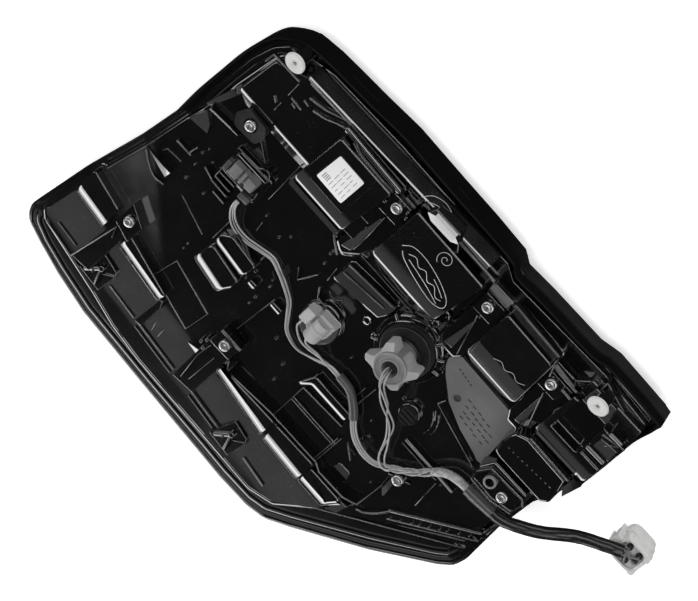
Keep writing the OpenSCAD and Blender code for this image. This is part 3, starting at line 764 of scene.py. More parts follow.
# holder lobes: the same grey plastic as the cap (M_GREY), painted lighter as a painted lit side
M_LOBE_PAINTED_LIT = plastic("holder_lobes", (0.40, 0.40, 0.405), 0.40, 0.06, dust=0.35, dust_col=(0.14, 0.14, 0.14), fine=0.14)
M_GREY = plastic("grey_plastic", (0.21, 0.21, 0.213), 0.36, 0.06, dust=0.3, dust_col=(0.10, 0.10, 0.10), fine=0.10)
M_GREY2 = plastic("connector_grey", (0.17, 0.17, 0.172), 0.36, 0.06, dust=0.3, dust_col=(0.10, 0.10, 0.10), fine=0.10)
M_LGREY = plastic("light_grey_plastic", (0.44, 0.44, 0.445), 0.34, 0.06, dust=0.25, dust_col=(0.15, 0.15, 0.15), fine=0.10)
M_WHITE = plastic("white_plastic", (0.62, 0.62, 0.61), 0.38, 0.06, dust=0.25, dust_col=(0.3, 0.3, 0.3), fine=0.10)
M_PAD = plastic("pad_plastic", (0.60, 0.60, 0.59), 0.42, 0.05, dust=0.15, dust_col=(0.4, 0.4, 0.4), fine=0.06, mottle=0.03)
M_WIRE = plastic("wire_insulation", (0.38, 0.38, 0.385), 0.36, 0.05, dust=0.3, dust_col=(0.12, 0.12, 0.12), fine=0.06)
M_WIRE2 = plastic("wire_insulation_dark", (0.13, 0.13, 0.13), 0.36, 0.05, fine=0.06)
M_SLEEVE = plastic("sleeve", (0.075, 0.075, 0.077), 0.30, 0.05, dust=0.2, fine=0.12, wave=0.2)
M_SHEATH = plastic("cable_sheath", (0.008, 0.008, 0.008), 0.27, 0.08, dust=0.5, dust_col=(0.09, 0.09, 0.09), wave=0.5, fine=0.12)
M_RUBBER = plastic("seal_rubber", (0.008, 0.008, 0.008), 0.5, 0.08, dust=0.5, fine=0.12)
M_PEN = plastic("pen_marks", (0.55, 0.55, 0.54), 0.6, 0.08, fine=0.1, mottle=0.4)
M_LENS, nt, b = new_mat("clear_lens")
nt.links.new(ramp(nt, noise(nt, coords(nt), 60, 4), [(0.3, (0.60, 0.60, 0.61)), (0.7, (0.70, 0.70, 0.71))]), b.inputs["Base Color"])
nt.links.new(ramp(nt, noise(nt, coords(nt), 45, 4), [(0.3, 0.06), (0.75, 0.14)]), b.inputs["Roughness"])
b.inputs["Transmission Weight"].default_value = 0.75
b.inputs["IOR"].default_value = 1.49
M_LENS_LIP = plastic("lens_lip", (0.006, 0.006, 0.006), 0.22, 0.05, dust=0.3, dust_col=(0.08, 0.08, 0.08), wave=0.05, fine=0.03, spec=0.25)

M_STEEL, nt, b = new_mat("screw_steel")
vec = coords(nt)
nt.links.new(ramp(nt, noise(nt, vec, 260, 4), [(0.3, (0.34, 0.34, 0.34)), (0.7, (0.62, 0.62, 0.61))]), b.inputs["Base Color"])
nt.links.new(ramp(nt, noise(nt, vec, 340, 4), [(0.3, 0.22), (0.75, 0.42)]), b.inputs["Roughness"])
b.inputs["Metallic"].default_value = 0.9
nt.links.new(bump(nt, b, noise(nt, vec, 2200, 2), 0.15, 0.0003), b.inputs["Normal"])

M_BRASS, nt, b = new_mat("terminal_brass")
nt.links.new(ramp(nt, noise(nt, coords(nt), 300, 3), [(0.3, (0.45, 0.36, 0.18)), (0.7, (0.62, 0.52, 0.28))]), b.inputs["Base Color"])
b.inputs["Metallic"].default_value = 1.0
b.inputs["Roughness"].default_value = 0.3

M_TAPE, nt, b = new_mat("wound_tape")
vec = coords(nt)
nt.links.new(ramp(nt, noise(nt, vec, 300, 4, 0.7), [(0.35, (0.20, 0.20, 0.20)), (0.65, (0.48, 0.48, 0.48))]), b.inputs["Base Color"])
b.inputs["Roughness"].default_value = 0.38
nt.links.new(bump(nt, b, noise(nt, vec, 700, 3), 0.6, 0.0006), b.inputs["Normal"])

M_LABEL, nt, b = new_mat("label_paper")
vec = coords(nt)
nt.links.new(ramp(nt, noise(nt, vec, 900, 4, 0.6), [(0.35, (0.82, 0.82, 0.82)), (0.65, (0.89, 0.89, 0.89))]), b.inputs["Base Color"])
b.inputs["Roughness"].default_value = 0.5
nt.links.new(bump(nt, b, noise(nt, vec, 1600, 2), 0.1, 0.0002), b.inputs["Normal"])
M_INK = plastic("label_marks", (0.24, 0.24, 0.24), 0.5, 0.05, mottle=0.3)

M_REFL, nt, b = new_mat("reflector")
nt.links.new(ramp(nt, noise(nt, coords(nt), 70, 3), [(0.3, (0.72, 0.72, 0.74)), (0.7, (0.86, 0.86, 0.88))]), b.inputs["Base Color"])
b.inputs["Metallic"].default_value = 1.0
nt.links.new(ramp(nt, noise(nt, coords(nt), 50, 3), [(0.3, 0.08), (0.7, 0.18)]), b.inputs["Roughness"])
M_BOARD = plastic("board", (0.05, 0.16, 0.08), 0.4, 0.05, fine=0.1)
M_BULB, nt, b = new_mat("bulb_glass")
nt.links.new(ramp(nt, noise(nt, coords(nt), 60, 2), [(0.3, (0.88, 0.88, 0.88)), (0.7, (0.96, 0.96, 0.96))]), b.inputs["Base Color"])
b.inputs["Roughness"].default_value = 0.05
b.inputs["Transmission Weight"].default_value = 0.9
M_BEZEL = plastic("bezel_plastic", (0.10, 0.10, 0.105), 0.35, 0.06, fine=0.1)

M_FLOOR, nt, b = new_mat("floor")
nt.links.new(ramp(nt, noise(nt, coords(nt), 3, 3), [(0.3, (0.90, 0.90, 0.90)), (0.7, (0.92, 0.92, 0.92))]), b.inputs["Base Color"])
b.inputs["Roughness"].default_value = 0.9
b.inputs["Specular IOR Level"].default_value = 0.1
b.inputs["Emission Color"].default_value = (1, 1, 1, 1)
b.inputs["Emission Strength"].default_value = 0.55

BODY = "root"


def piece(ob, nodes=(), slot=None, body=BODY):
    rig.ride(ob, body)
    if nodes:
        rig.replaces(ob, *nodes)
    if slot:
        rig.slot(ob, slot)
    return ob


# ---------------------------------------------------------------- cable and what is on it
CABLE = [(196, 12, 50), (201, 12.3, 50), (207, 14, 49.6), (213.2, 16.8, 48.6), (220, 20.2, 46.8), (227.2, 23.6, 44.2),
         (233.8, 27.4, 41.3), (239.8, 31.8, 38.6), (245.4, 36.6, 36.6), (251.4, 41.6, 35), (257.8, 46.2, 34), (264.4, 50.2, 33.2),
         (271, 53.8, 32.2), (277.2, 57, 30.8), (283, 59, 28.5)]
PLUG = (290, 58)
SEALS = [(-4.5, -5.5), (1, -5.5), (6, 0), (-4.5, 5.5), (5.5, 5.5)]

cpath = smooth_path(CABLE, 5)
m_c = len(cpath)
fl = np.linspace(0, 1, m_c)
wob = 1 + 0.03 * np.sin(fl * 23) + 0.02 * np.sin(fl * 51 + 1)
cable = obj_of("cable_sheath", [tube(cpath, 5.45 * np.minimum(wob, 1.0), 24, 4.4 * (2 - np.maximum(wob, 1.0)) * np.where(fl < 0, 1, 1))], M_SHEATH, 50)
piece(cable, ["cable"], "cable_sheath")
seg = np.diff(np.array(CABLE, float), axis=0)
CABLE_LEN = float(np.sum(np.linalg.norm(np.diff(cpath, axis=0), axis=1))) * MM

# plug: rounded body on its mating face, seals and wires on top
px, py = PLUG


def at(shape, x, y, z=0.0):
    v, f = shape
    return [(a + x, b + y, c + z) for a, b, c in v], f


body = merge([
    at(prism(rect(-13, 13, -12, 12, 7), 0, 24, 1.6, 0, 0.0, 6, 4, sink=0), px, py),
    at(prism(rect(-14.5, 14.5, -13, 13, 8), 7.6, 14, 1.2, 0, 0.0, 6, 3, sink=0), px, py),
    at(prism(rect(-18, -12.4, -6.5, -4.2, 0.8), 6, 24.6, 0.8, 0, 0.0, 3, 3, sink=0), px, py),
    at(prism(rect(-18, -12.4, 4.2, 6.5, 0.8), 6, 24.6, 0.8, 0, 0.0, 3, 3, sink=0), px, py),
    at(prism(rect(-18, -12.4, -6.5, 6.5, 0.8), 20.5, 24.6, 0.8, 0, 0.0, 3, 3, sink=0), px, py),
    at(prism(rect(-16.6, -12, -3.2, 3.2, 0.6), 3, 21.5, 0.7, 0, 0.0, 3, 3, sink=0), px, py),
    at(boss(10.5, -8.5, 3.4, 18, 24.9, 1.4, 0.4, n=28), px, py),
    at(boss(11.0, 8.0, 3.0, 18, 24.6, 1.4, 0.4, n=28), px, py),
    at(boss(-9.5, 9.5, 2.8, 18, 24.4, 1.2, 0.4, n=28), px, py),
], "plug_body")
cut = temp_obj(*at(pocket(rect(-10, 9.6, -9.2, 9.2, 4.5), 21, 24, 0.7, 0.5), px, py))
body = boolean(body, cut, "DIFFERENCE")
cut = temp_obj(*at(prism(rect(-11.4, 11.4, -10.4, 10.4, 5.5), -3, 13, 0.5, 0, 0.0, 5, 3, sink=0), px, py))
body = boolean(body, cut, "DIFFERENCE")
finish_mesh(body, M_WHITE, 40)
weighted(body)
piece(body, ["cable_plug"], "white_plastic")
seals = []
for (qx, qy) in SEALS:
    seals.append(lathe(px + qx, py + qy, [(2.5, 20.0), (2.7, 20.6), (2.4, 21.4), (2.7, 22.2), (2.4, 23.0), (2.65, 23.8), (2.4, 24.5), (1.7, 24.6), (1.2, 24.1)], 28))
seal_ob = obj_of("plug_seal_rings", seals, M_RUBBER, 50)
piece(seal_ob, ["plug_seals"], "seal_rubber")
t_c, s_c, o_c = path_frame(np.array(CABLE, float))
wires = []
for i, (qx, qy) in enumerate(SEALS):
    a = np.array(CABLE[-1], float) + (-3.6 + 1.8 * i) * s_c[-1] + (-1.0 if i % 2 == 0 else 1.2) * o_c[-1]
    bq = np.array([px + qx, py + qy, 22.0])
    wires.append(tube(smooth_path([a - 0.5 * t_c[-1], a + 2.5 * t_c[-1], bq + (0, 0, 5), bq + (0, 0, 3.4), bq + (0, 0, 0.2)], 5), 0.95, 10))
wire_ob = obj_of("plug_lead_wires", wires, M_WIRE2, 50)
piece(wire_ob, ["plug_wires"], "cable_sheath")
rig.cord(cable, exit=[c * MM for c in CABLE[0]], length=CABLE_LEN, diameter=0.011, far_end="plug", stiffness="stiff", lay="loose",
        path=[[c * MM for c in q] for q in cpath.tolist()], with_pieces=[body, seal_ob, wire_ob, "plug_terminals"])

# ---------------------------------------------------------------- outlines, as in the construction
OUT = [(-225, -122), (-220, -134), (-198, -142), (-172, -150), (-135, -158), (-60, -164), (10, -169),
       (37, -171), (69, -171), (87, -167), (107, -153), (161, -111), (204, -72), (213, -61), (215, -48),
       (211, -5), (212, 36), (218, 46), (219, 66), (223, 81), (223, 105), (222, 136), (225, 158),
       (220, 163), (170, 165), (153, 161), (102, 161), (76, 160), (66, 166), (34, 168), (-1, 169),
       (-51, 171), (-85, 169), (-112, 168), (-132, 167), (-152, 164), (-167, 154), (-175, 143),
       (-181, 121), (-184, 97), (-187, 70), (-188, 46), (-197, 0), (-212, -57), (-223, -111)]
STEP = [(-217, -120), (-212, -128), (-196, -135), (-171, -142), (-134, -150), (-60, -156), (10, -160),
        (37, -162), (66, -162), (82, -158), (100, -145), (155, -101), (196, -65), (204, -56), (206, -46),
        (204, -5), (206, 38), (211, 50), (212, 68), (216, 82), (216, 105), (215, 134), (217, 156),
        (170, 156), (153, 153), (102, 153), (76, 152), (64, 158), (34, 160), (-1, 161), (-51, 162),
        (-112, 160), (-132, 159), (-148, 156), (-160, 148), (-168, 138), (-174, 119), (-177, 97),
        (-180, 70), (-181, 46), (-190, 0), (-205, -57), (-215, -110)]
FIELD = [(-214, -111), (-207, -118), (-175, -125), (-139, -133), (-110, -141), (-75, -146), (-32, -148),
         (7, -150), (60, -153), (82, -146), (108, -116), (198, -34), (204, -24), (203, -5), (204, 40),
         (208, 52), (208, 90), (190, 150), (-20, 154), (-130, 154), (-160, 138), (-168, 96), (-174, 60), (-178, 44), (-187, 0),
         (-202, -57), (-212, -105)]


def rnd(poly, r):
    return [(x, y, r) for x, y in poly]


def levels(poly, prof, seg=3):
    """A closed stack of one outline drawn in by d at each z."""
    return skin([[(x, y, z) for x, y in outline(poly, d, seg)] for d, z in prof])


# ---------------------------------------------------------------- housing
pos, neg = [], []
P = pos.append
C = neg.append
F0 = 40.0


def seen(x, y, z):
    """The point at height z that hides (x, y, 50) from the camera."""
    k = (1317.0 - z) / 1267.0
    return 5 + (x - 5) * k, 839 + (y - 839) * k


def S(pts, z):
    return [(*seen(q[0], q[1], z), *q[2:]) for q in pts]


def outward(v, f):
    """The same closed shape with its faces turned outwards."""
    q = np.array(v, float)
    vol = 0.0
    for g in f:
        for k in range(1, len(g) - 1):
            vol += float(np.dot(q[g[0]], np.cross(q[g[k]], q[g[k + 1]])))
    return (v, f) if vol > 0 else (v, [g[::-1] for g in f])


def ridge(pts, w, z0, zs, n=8):
    """A continuous rounded wall along the points (x, y), from z0 up to the heights zs.

    Without z0 it is a thin strip, 0.5 mm high."""
    p = np.array([(x, y, 0.0) for x, y in pts], float)
    h = np.broadcast_to(np.asarray(zs, float), (len(p),))
    t = tangents(p)
    a, c_ = w / 2, min(0.36 * w, 1.0)
    rows = [(p[0] - 0.45 * a * t[0], t[0], 0.6, h[0] - 0.5 * c_)] + [(p[i], t[i], 1.0, h[i]) for i in range(len(p))]
    rows.append((p[-1] + 0.45 * a * t[-1], t[-1], 0.6, h[-1] - 0.5 * c_))
    rings = []
    for q, d, k, z in rows:
        zb = z - 0.5 if z0 is None else z0
        c_ = min(c_, 0.36) if z0 is None else c_
        prof = [(-a * k, zb), (-a * k, z - c_)] + [(-a * k * math.cos(math.pi * j / n), z - c_ + c_ * math.sin(math.pi * j / n)) for j in range(1, n)]
        prof += [(a * k, z - c_), (a * k, zb)]
        rings.append([(q[0] + d[1] * e, q[1] - d[0] * e, zz) for e, zz in prof])
    return outward(*skin(rings))


def bank(pts, prof):
    """A solid along the points (x, y) with the section prof of (y offset, z)."""
    return outward(*skin([[(x, y + dy, z) for dy, z in prof] for x, y in pts]))


# rib-top strips in a lighter material: a painted highlight, partly edge wear
wear_highlight_strips = []


def cap_width(w):
    return min(max(0.62 * w, 0.9), 1.35)


def rib(a, b_, w, z, z0=None, r=None, za=None, base=0.8):
    za = z if za is None else za
    q = [seen(*a, za), seen(*b_, z)]
    P(ridge(q, w, min(z, za) - 6 if z0 is None else z0, [za, z]))
    wear_highlight_strips.append(ridge(q, cap_width(w), None, [za + 0.06, z + 0.06]))


def ribs(pts, w, z, z0=None, r=None):
    q = [seen(x, y, z) for x, y in pts]
    P(ridge(q, w, z - 6 if z0 is None else z0, z))
    wear_highlight_strips.append(ridge(q, cap_width(w), None, z + 0.06))


def curve_rib(pts, w, z, z0=None, r=None, per=4):
    q = smooth_path([(x, y, 0) for x, y in pts], per)
    ribs([(c[0], c[1]) for c in q], w, z, z0, r)


def hull_shape(points):
    """Closed convex shape round the points."""
    import bmesh
    bm = bmesh.new()
    for q in points:
        bm.verts.new(q)
    res = bmesh.ops.convex_hull(bm, input=bm.verts)
    junk = [e for e in res["geom_interior"] if isinstance(e, bmesh.types.BMVert)]
    bmesh.ops.delete(bm, geom=junk, context="VERTS")
    loose = [v_ for v_ in bm.verts if not v_.link_faces]
    bmesh.ops.delete(bm, geom=loose, context="VERTS")
    bmesh.ops.recalc_face_normals(bm, faces=bm.faces)
    bm.verts.index_update()
    vs = [tuple(v_.co) for v_ in bm.verts]
    fs = [[v_.index for v_ in f_.verts] for f_ in bm.faces]
    bm.free()
    return vs, fs


def facet(pts, z_low):
    """A convex block whose upper corners are pts, seen in the plane z = 50, standing on z_low."""
    up = [(*seen(x, y, z), z) for x, y, z in pts]
    return hull_shape(up + [(x, y, z_low) for x, y, _ in up])


def soft_ramp(t, e=0.15):
    if t <= 0:
        return 0.0
    t = min(t, 1.0 + e)
    u = t * t / (2 * e) if t < e else t - e / 2
    if t > 1.0:
        u -= (t - 1.0) ** 2 / (2 * e)
    return u


def field_z(x, y):
    """Height of the field: it falls towards the low edge and in one corner, and waves a little."""
    v = y + 0.12 * x
    z = F0 - 3.7 * soft_ramp((-97.0 - v) / 36.0)
    return z + 0.07 * math.sin(x / 13.0 + 1.3 * math.sin(y / 19.0)) + 0.05 * math.sin(y / 11.0 + x / 23.0)


# rim: beads and grooves, then the step
P(levels(rnd(OUT, 14), [(0.3, 29.0), (0.0, 29.4), (0.0, 30.5), (0.4, 31.4), (0.8, 31.7), (2.5, 31.9), (3.0, 31.5), (3.3, 30.9), (4.3, 30.8),
                        (4.6, 31.5), (5.0, 32.1), (6.9, 32.35), (7.6, 32.3), (8.0, 31.7), (9.5, 31.6)]))
P(levels(rnd(STEP, 10), [(0, 30.5), (0, 33.0), (0.4, 33.7), (0.8, 33.9), (2.9, 34.2), (3.6, 34.1), (4.0, 33.3), (5.0, 33.2), (5.4, 33.9), (5.8, 34.3), (7.6, 34.55)]))
P(levels(rnd(FIELD, 6), [(-2.6, 33.0), (-2.3, 34.2), (-1.8, 35.2), (-1.0, 36.2), (-0.4, 36.7), (0.7, 36.85), (1.4, 36.7), (2.0, 35.8), (2.4, 34.0), (2.6, 33.0)]))


def field_shell():
    """Heightfield inside the field's outline."""
    x0, x1, y0, y1, st = -222.0, 216.0, -160.0, 162.0, 3.0
    nx, ny = int((x1 - x0) / st) + 1, int((y1 - y0) / st) + 1
    v = []
    for j in range(ny):
        for i in range(nx):
            x, y = x0 + i * st, y0 + j * st
            v.append((x, y, field_z(x, y)))
    n0 = len(v)
    v += [(x0 + i * st, y0 + j * st, 31.0) for j in range(ny) for i in range(nx)]
    f = []
    for j in range(ny - 1):
        for i in range(nx - 1):
            k = j * nx + i
            f.append([k, k + 1, k + nx + 1, k + nx])
            f.append([n0 + k, n0 + k + nx, n0 + k + nx + 1, n0 + k + 1])
    for i in range(nx - 1):
        f.append([i + 1, i, n0 + i, n0 + i + 1])
        k = (ny - 1) * nx + i
        f.append([k, k + 1, n0 + k + 1, n0 + k])
    for j in range(ny - 1):
        k = j * nx
        f.append([k, k + nx, n0 + k + nx, n0 + k])
        k = j * nx + nx - 1
        f.append([k + nx, k, n0 + k, n0 + k + nx])
    return v, f


field = temp_obj(*field_shell(), "field")
field = boolean(field, temp_obj(*levels(rnd(FIELD, 6), [(1.2, 32.0), (1.2, 45.0)])), "INTERSECT")

# plateau in the top corner, with its long bright shoulder
P(prism([(-164, 101.5, 3), (-94, 99.5, 2), (-20, 98, 2), (-24, 147, 3), (-30, 151, 3), (-130, 152.5, 3), (-158, 141, 5)], F0 - 1, 50.5, 1.2, 1.6,
        wide=3.2, slope=44, sink=3))
C(pocket([(-127.6, 90, 0.3), (-126.0, 90, 0.3), (-126.2, 107, 0.3), (-127.8, 107, 0.3)], 48.4, 50.6, 0.3, 0.3))
P(bank([(-131, 155.4), (-50, 156.0), (20, 157.0), (56, 157.2)], [(-2.4, 38), (-2.4, 54.0), (-1.6, 55.1), (-0.6, 55.5), (0.3, 55.2), (0.9, 54.4), (6.0, 46.2), (6.4, 45.0), (6.4, 38)]))
ribs([(-131, 150.4), (-80, 149.9), (-27, 147.6)], 1.9, 53.0, 46)
rib((-128, 149), (-88, 149.6), 1.5, 52.0, 48)
curve_rib([(-121, 140), (-108, 142.8), (-98, 146.8), (-88, 150.8)], 2.2, 52.8, 48)
curve_rib([(-113, 135), (-103, 138.0), (-95, 142.0), (-86, 145.5)], 1.9, 52.6, 48)
curve_rib([(-100, 139.5), (-92, 143.5), (-86, 145.2)], 1.6, 53.0, 48)
rib((-86, 144.6), (-28, 141), 4.8, 57.5, 48, 2.3)
curve_rib([(-76, 141), (-68, 138.4), (-52, 137.2), (-34, 136)], 1.6, 61.0, 56)
for a_, b_ in (((-123, 135.4), (-118, 134.6)), ((-131, 129), (-120, 128)), ((-141, 120), (-137, 117)), ((-134, 120), (-134, 112)),
               ((-128, 126), (-124, 125.4)), ((-162, 143), (-135, 143)), ((-134, 141), (-134, 129)), ((-162, 143), (-163, 134))):
    rib(a_, b_, 1.5, 51.7, 48)
# band beside the skirt, falling away from it a little
P(prism([(-152, 148, 3), (218, 142, 2), (217, 154, 2), (170, 158, 2), (76, 155, 2), (64, 162, 2), (-51, 165, 3), (-120, 164, 6), (-146, 158, 5)], 34, 42, 0.8, 0.5, 0.0,
        top=lambda x, y: 40.5 + (y - 150) * 0.13, sink=3))
# first box
P(prism(S([(-91, 83, 4), (-36, 81.5, 3), (-29, 136, 3), (-86, 137.5, 4)], 64), F0, 64, 1.3, 2.2, 0.05, 6, 4, wide=2.5, slope=62, glow=11, sink=3))
P(facet([(-90.6, 82.6, 60.6), (-37.2, 81.4, 60.6), (-37.2, 76.9, 41), (-88.6, 78.2, 41)], 37))
C(pocket(S([(-80.5, 94.5, 1), (-45.5, 93.5, 1), (-44, 128.5, 1), (-76.5, 130, 1)], 64), 63.5, 64.15, 0.25, 0.3))
rib((-38, 76), (-26, 66.5), 2.0, 44, 38)
P(prism(S([(-38, 85, 1), (-25.4, 85, 1), (-25.4, 105, 1), (-38, 105, 1)], 50.9), 40, 50.9, 0.5, 0.6, sink=3))
# arm with the fourth screw
P(prism(S([(-34, 74, 3), (-25, 68.5, 4), (-15, 79, 3), (-9, 92, 3), (-9, 143, 2), (-31, 143, 2)], 47), F0, 47, 1.4, 1.5, wide=1.6, slope=60, sink=3))
P(prism(S([(-30.5, 119, 1.5), (-11.5, 119, 1.5), (-10.5, 139, 1.5), (-30, 139, 1.5)], 54), F0, 54, 0.9, 1.0))
P(prism(S([(-30, 72.5, 1.5), (-21, 76, 1.5), (-20, 95, 3), (-21.2, 118, 0.8), (-23.6, 118, 0.8)], 50), 44, 54, 0.7, 0.5, top=lambda x, y: 47.5 + (y - 72) * 0.165))
rib((-20.3, 80), (-20, 95), 1.3, 53, 45, za=50)
rib((-20, 95), (-21.4, 118), 1.3, 55.4, 45, za=53)
rib((-21, 142), (-11.5, 141.6), 2.0, 56, 48, 0.9)
for q in ((-12, 135), (-10, 131), (-30, 128)):
    P(boss(*seen(*q, 54), 1.7, 50, 55.3, 0.7, 0.4, n=16))
# second box
P(prism(S([(-11, 87.6, 4), (59, 85.4, 5), (66, 139.5, 3), (-9, 142.5, 3)], 66), F0, 66, 1.3, 2.2, 0.05, 6, 4, wide=2.4, slope=48.5, glow=13, sink=3))
rib((28, 149), (66.5, 148), 2.6, 61, 50, 1.2)
rib((-9, 149), (-3, 149), 2.4, 61, 50, 1.1)
rib((28, 148.6), (33, 142), 1.5, 62, 50)
P(facet([(-3.0, 147.4, 66.0), (29, 147.4, 66.0), (3, 153.0, 68.2), (24, 153.0, 68.2), (3, 149.8, 69.0), (24, 149.8, 69.0), (3, 144.2, 66.84), (24, 144.2, 66.88)], 48))
rib((1, 153.8), (25, 153.8), 1.6, 68.6, 56, 0.7)
P(boss(*seen(61, 88, 60), 4.0, 44, 60, 2.0, 1.5, n=28))
# step below the second box
P(prism(S([(-16, 48, 2), (29, 53, 3), (33, 62, 3), (34, 73, 3), (-14, 70, 3)], 46), F0, 46, 1.0, 1.2, wide=0.9, top=lambda x, y: 43.6 + (y - 45) * 0.10, sink=3))
rib((-14, 68), (31, 71), 1.9, 49.5, 43, 0.9)
rib((-13, 60), (27, 64.5), 1.2, 46.6, 42)
rib((-17, 82), (-9, 84), 1.6, 46, 38)
rib((-13, 81.6), (57, 79.5), 1.3, 42.2, 38)
P(ring_torus(*seen(25, 47, 41), 41.0, 2.9, 0.9, 28, 8))
curve_rib([(-10, 40), (-7, 38), (-2, 38.5), (2, 43)], 1.2, 41.3, 38)
ribs([(-39, 34), (-33, 26), (-25, 42)], 1.4, 43, 38)
rib((-17.5, 36), (-12, 28), 1.4, 43, 38)
rib((-82, 38), (-81, 29), 1.3, 42, 38)
rib((-12, 28), (4, 26.5), 1.8, 47, 40)
rib((-91.5, 97), (-91.0, 56), 1.2, 41.6, 38)
rib((-17, 45), (-18.5, 58), 1.4, 42, 38)
# arm with the fifth screw
P(prism(S([(68.5, 85, 3), (73, 78.5, 3), (88, 78.5, 3), (92, 84.5, 3), (90, 142, 2), (67, 142, 2)], 48), F0, 48, 1.4, 1.5, wide=1.6, slope=60, sink=3))
P(prism(S([(69, 120, 1.5), (88.5, 120, 1.5), (88, 139, 1.5), (68, 139, 1.5)], 54), F0, 54, 0.9, 1.0))
P(prism(S([(74, 82, 1.5), (83, 83, 1.5), (80, 117, 0.8), (77, 118, 0.8)], 50), 44, 54, 0.7, 0.5, top=lambda x, y: 48.5 + (y - 80) * 0.16))
rib((88, 84), (77, 118.6), 1.4, 55.0, 45, za=50)
rib((68, 141.6), (87, 141), 2.2, 56, 48, 1.0)
# third box
P(prism(S([(90, 88.8, 4), (145, 87.4, 5), (140, 137.6, 3), (90, 139.8, 3)], 62), F0, 62, 1.3, 2.2, 0.05, 6, 4, wide=2.0, slope=50, glow=14, sink=3,
        top=lambda x, y: 61.2 + (y - 96) * 0.05))
rib((89.5, 147), (138, 144.4), 2.4, 59.5, 50, 1.1)
rib((140, 138), (144.5, 128), 1.5, 60, 50)
rib((91.5, 138), (93.5, 92), 1.3, 61.8, 56)
rib((140, 137), (142.6, 93), 1.3, 62.2, 56)
# arm with the sixth screw
P(prism(S([(144, 84, 3), (149, 76, 3), (162, 76, 3), (166, 84, 3), (168, 136, 2), (141, 136, 2)], 48), F0, 48, 1.4, 1.5, wide=1.6, slope=60, sink=3))
P(prism(S([(142, 116, 1.5), (160, 116, 1.5), (166, 133.5, 1.5), (141, 134, 1.5)], 54), F0, 54, 0.9, 1.0))
P(prism(S([(152, 80, 1.5), (160, 81.5, 1.5), (154, 112, 0.8), (150.5, 113, 0.8)], 50), 44, 54, 0.7, 0.5, top=lambda x, y: 48.5 + (y - 80) * 0.16))
rib((163, 85), (151, 115), 1.4, 55.0, 45, za=50)
rib((141.5, 136), (166, 135), 2.2, 56, 48, 1.0)
ribs([(158, 128), (170, 127)], 2.2, 57, 48)
ribs([(170, 129), (166, 112), (171, 101)], 1.8, 57, 46)
# fourth box with its open pocket, and the lower pad's seat
P(prism(S([(166, 85, 5), (222, 85, 4), (222, 133, 2), (166, 133, 2)], 58), 34, 58, 1.3, 2.0, 0.05, 6, 4, wide=4.0, slope=55, glow=9))
P(prism(S([(166, 128, 2), (221, 128, 2), (219, 153, 2), (166, 153, 2)], 51), 34, 51, 1.2, 1.0, 0.05))
C(pocket(S([(173, 101, 1.5), (199.5, 101, 1.5), (198.5, 132, 1.5), (172, 132, 1.5)], 58), 46.2, 58, 0.7, 0.6, 0.03, above=20))
P(prism(S([(203, 114, 1), (221, 114, 1), (219, 127, 1), (203, 125, 1)], 59), 50, 59.5, 0.6, 0.4, top=lambda x, y: 57.8 + (y - 118) * 0.15))
rib((202, 110.6), (218.5, 111), 3.6, 61.0, 52, 1.6)
rib((202, 104), (220, 104), 2.4, 60.2, 52, 1.1)
rib((205, 132), (216.5, 132.4), 3.4, 60.5, 50, 1.5)
rib((202, 127.4), (214, 130), 1.8, 59.5, 50)
rib((209, 122), (216, 130), 1.3, 59.5, 50)
rib((173.4, 100.4), (173.4, 106), 2.0, 59.6, 52, 0.9)
P(prism(S([(172, 133.5, 1.5), (200, 133.5, 1.5), (194, 151, 2), (172, 151, 1.5)], 55), 44, 56, 0.8, 0.8, 0.04, top=lambda x, y: 53.5 + (y - 136) * 0.15))
ribs([(175, 159), (196, 153.5), (213, 147)], 1.8, 50, 40)
rib((175, 159), (176, 150), 1.6, 52, 40)
ribs([(159, 141), (165, 148), (169, 155)], 1.4, 47, 38)
# fifth box, deep black with a rounded end
P(prism(S([(157.5, 60, 9), (160, 49, 5), (168, 47.5, 3), (212, 47, 4), (218, 53, 4), (216.5, 67, 3), (213, 78.6, 3), (170, 80.2, 8), (159, 75, 8)], 62), 36, 62, 2.6, 2.0, 0.05, 6, 6))
rib((171, 80.4), (213, 79), 1.6, 62.4, 54, 0.7)
rs = random.Random(3)
for k in range(10):
    x = 166 + k * 4.6 + rs.uniform(-0.5, 0.5)
    y = 61.2 + 0.065 * (x - 166)
    rib((x, y), (x + 0.7 + 1.0 * rs.random(), y + 0.1), 0.9, 62.8, 61, 0.5, base=0.2)
P(facet([(214, 72, 56), (222, 84, 56), (214, 84, 58), (219, 66, 55)], 44))
# tower of the bracket, ledge of the cable
P(prism([(162, 26, 4), (186, 25, 4), (204, 30, 3), (206, 45, 3), (201, 52, 3), (166, 52, 4), (160, 38, 4)], 36, 60, 2.0, 2.0, 0.05))
P(prism([(166, 2, 2), (203, 2, 2), (204, 24, 2), (168, 26, 2)], 34, 44, 1.2, 1.5, 0.03, sink=3))
# arms to the free screws
P(prism(S([(-170, 71, 1), (-140, 73, 1), (-139, 75.5, 1), (-170, 73.6, 1)], 48), 38, 48, 0.9, 0.8, sink=3))
rib((-131, 90), (-112, 75), 1.2, 43.5, 38)
P(facet([(-166, 100, 46), (-161, 97, 45), (-170, 75, 43), (-174, 73, 44)], 36))
P(facet([(-176, 54, 42), (-158, 56, 41.5), (-161, 63, 43), (-170, 70, 44.5)], 36))
P(prism(S([(-164, -60, 2), (-145, -66, 2), (-143.5, -45.5, 1), (-163, -34, 1)], 51), F0 - 4, 51.5, 0.9, 1.5, sink=3))
P(prism(S([(-171, -114, 2), (-152, -112, 2), (-149, -62, 2), (-163, -58, 2)], 46), F0 - 5, 46, 0.9, 1.0, sink=3))
ribs([(-171, -114), (-160, -62), (-157, -73)], 1.7, 49.5, 36)
P(facet([(-165, -104, 45), (-158, -102, 46), (-158, -108, 44)], 34))
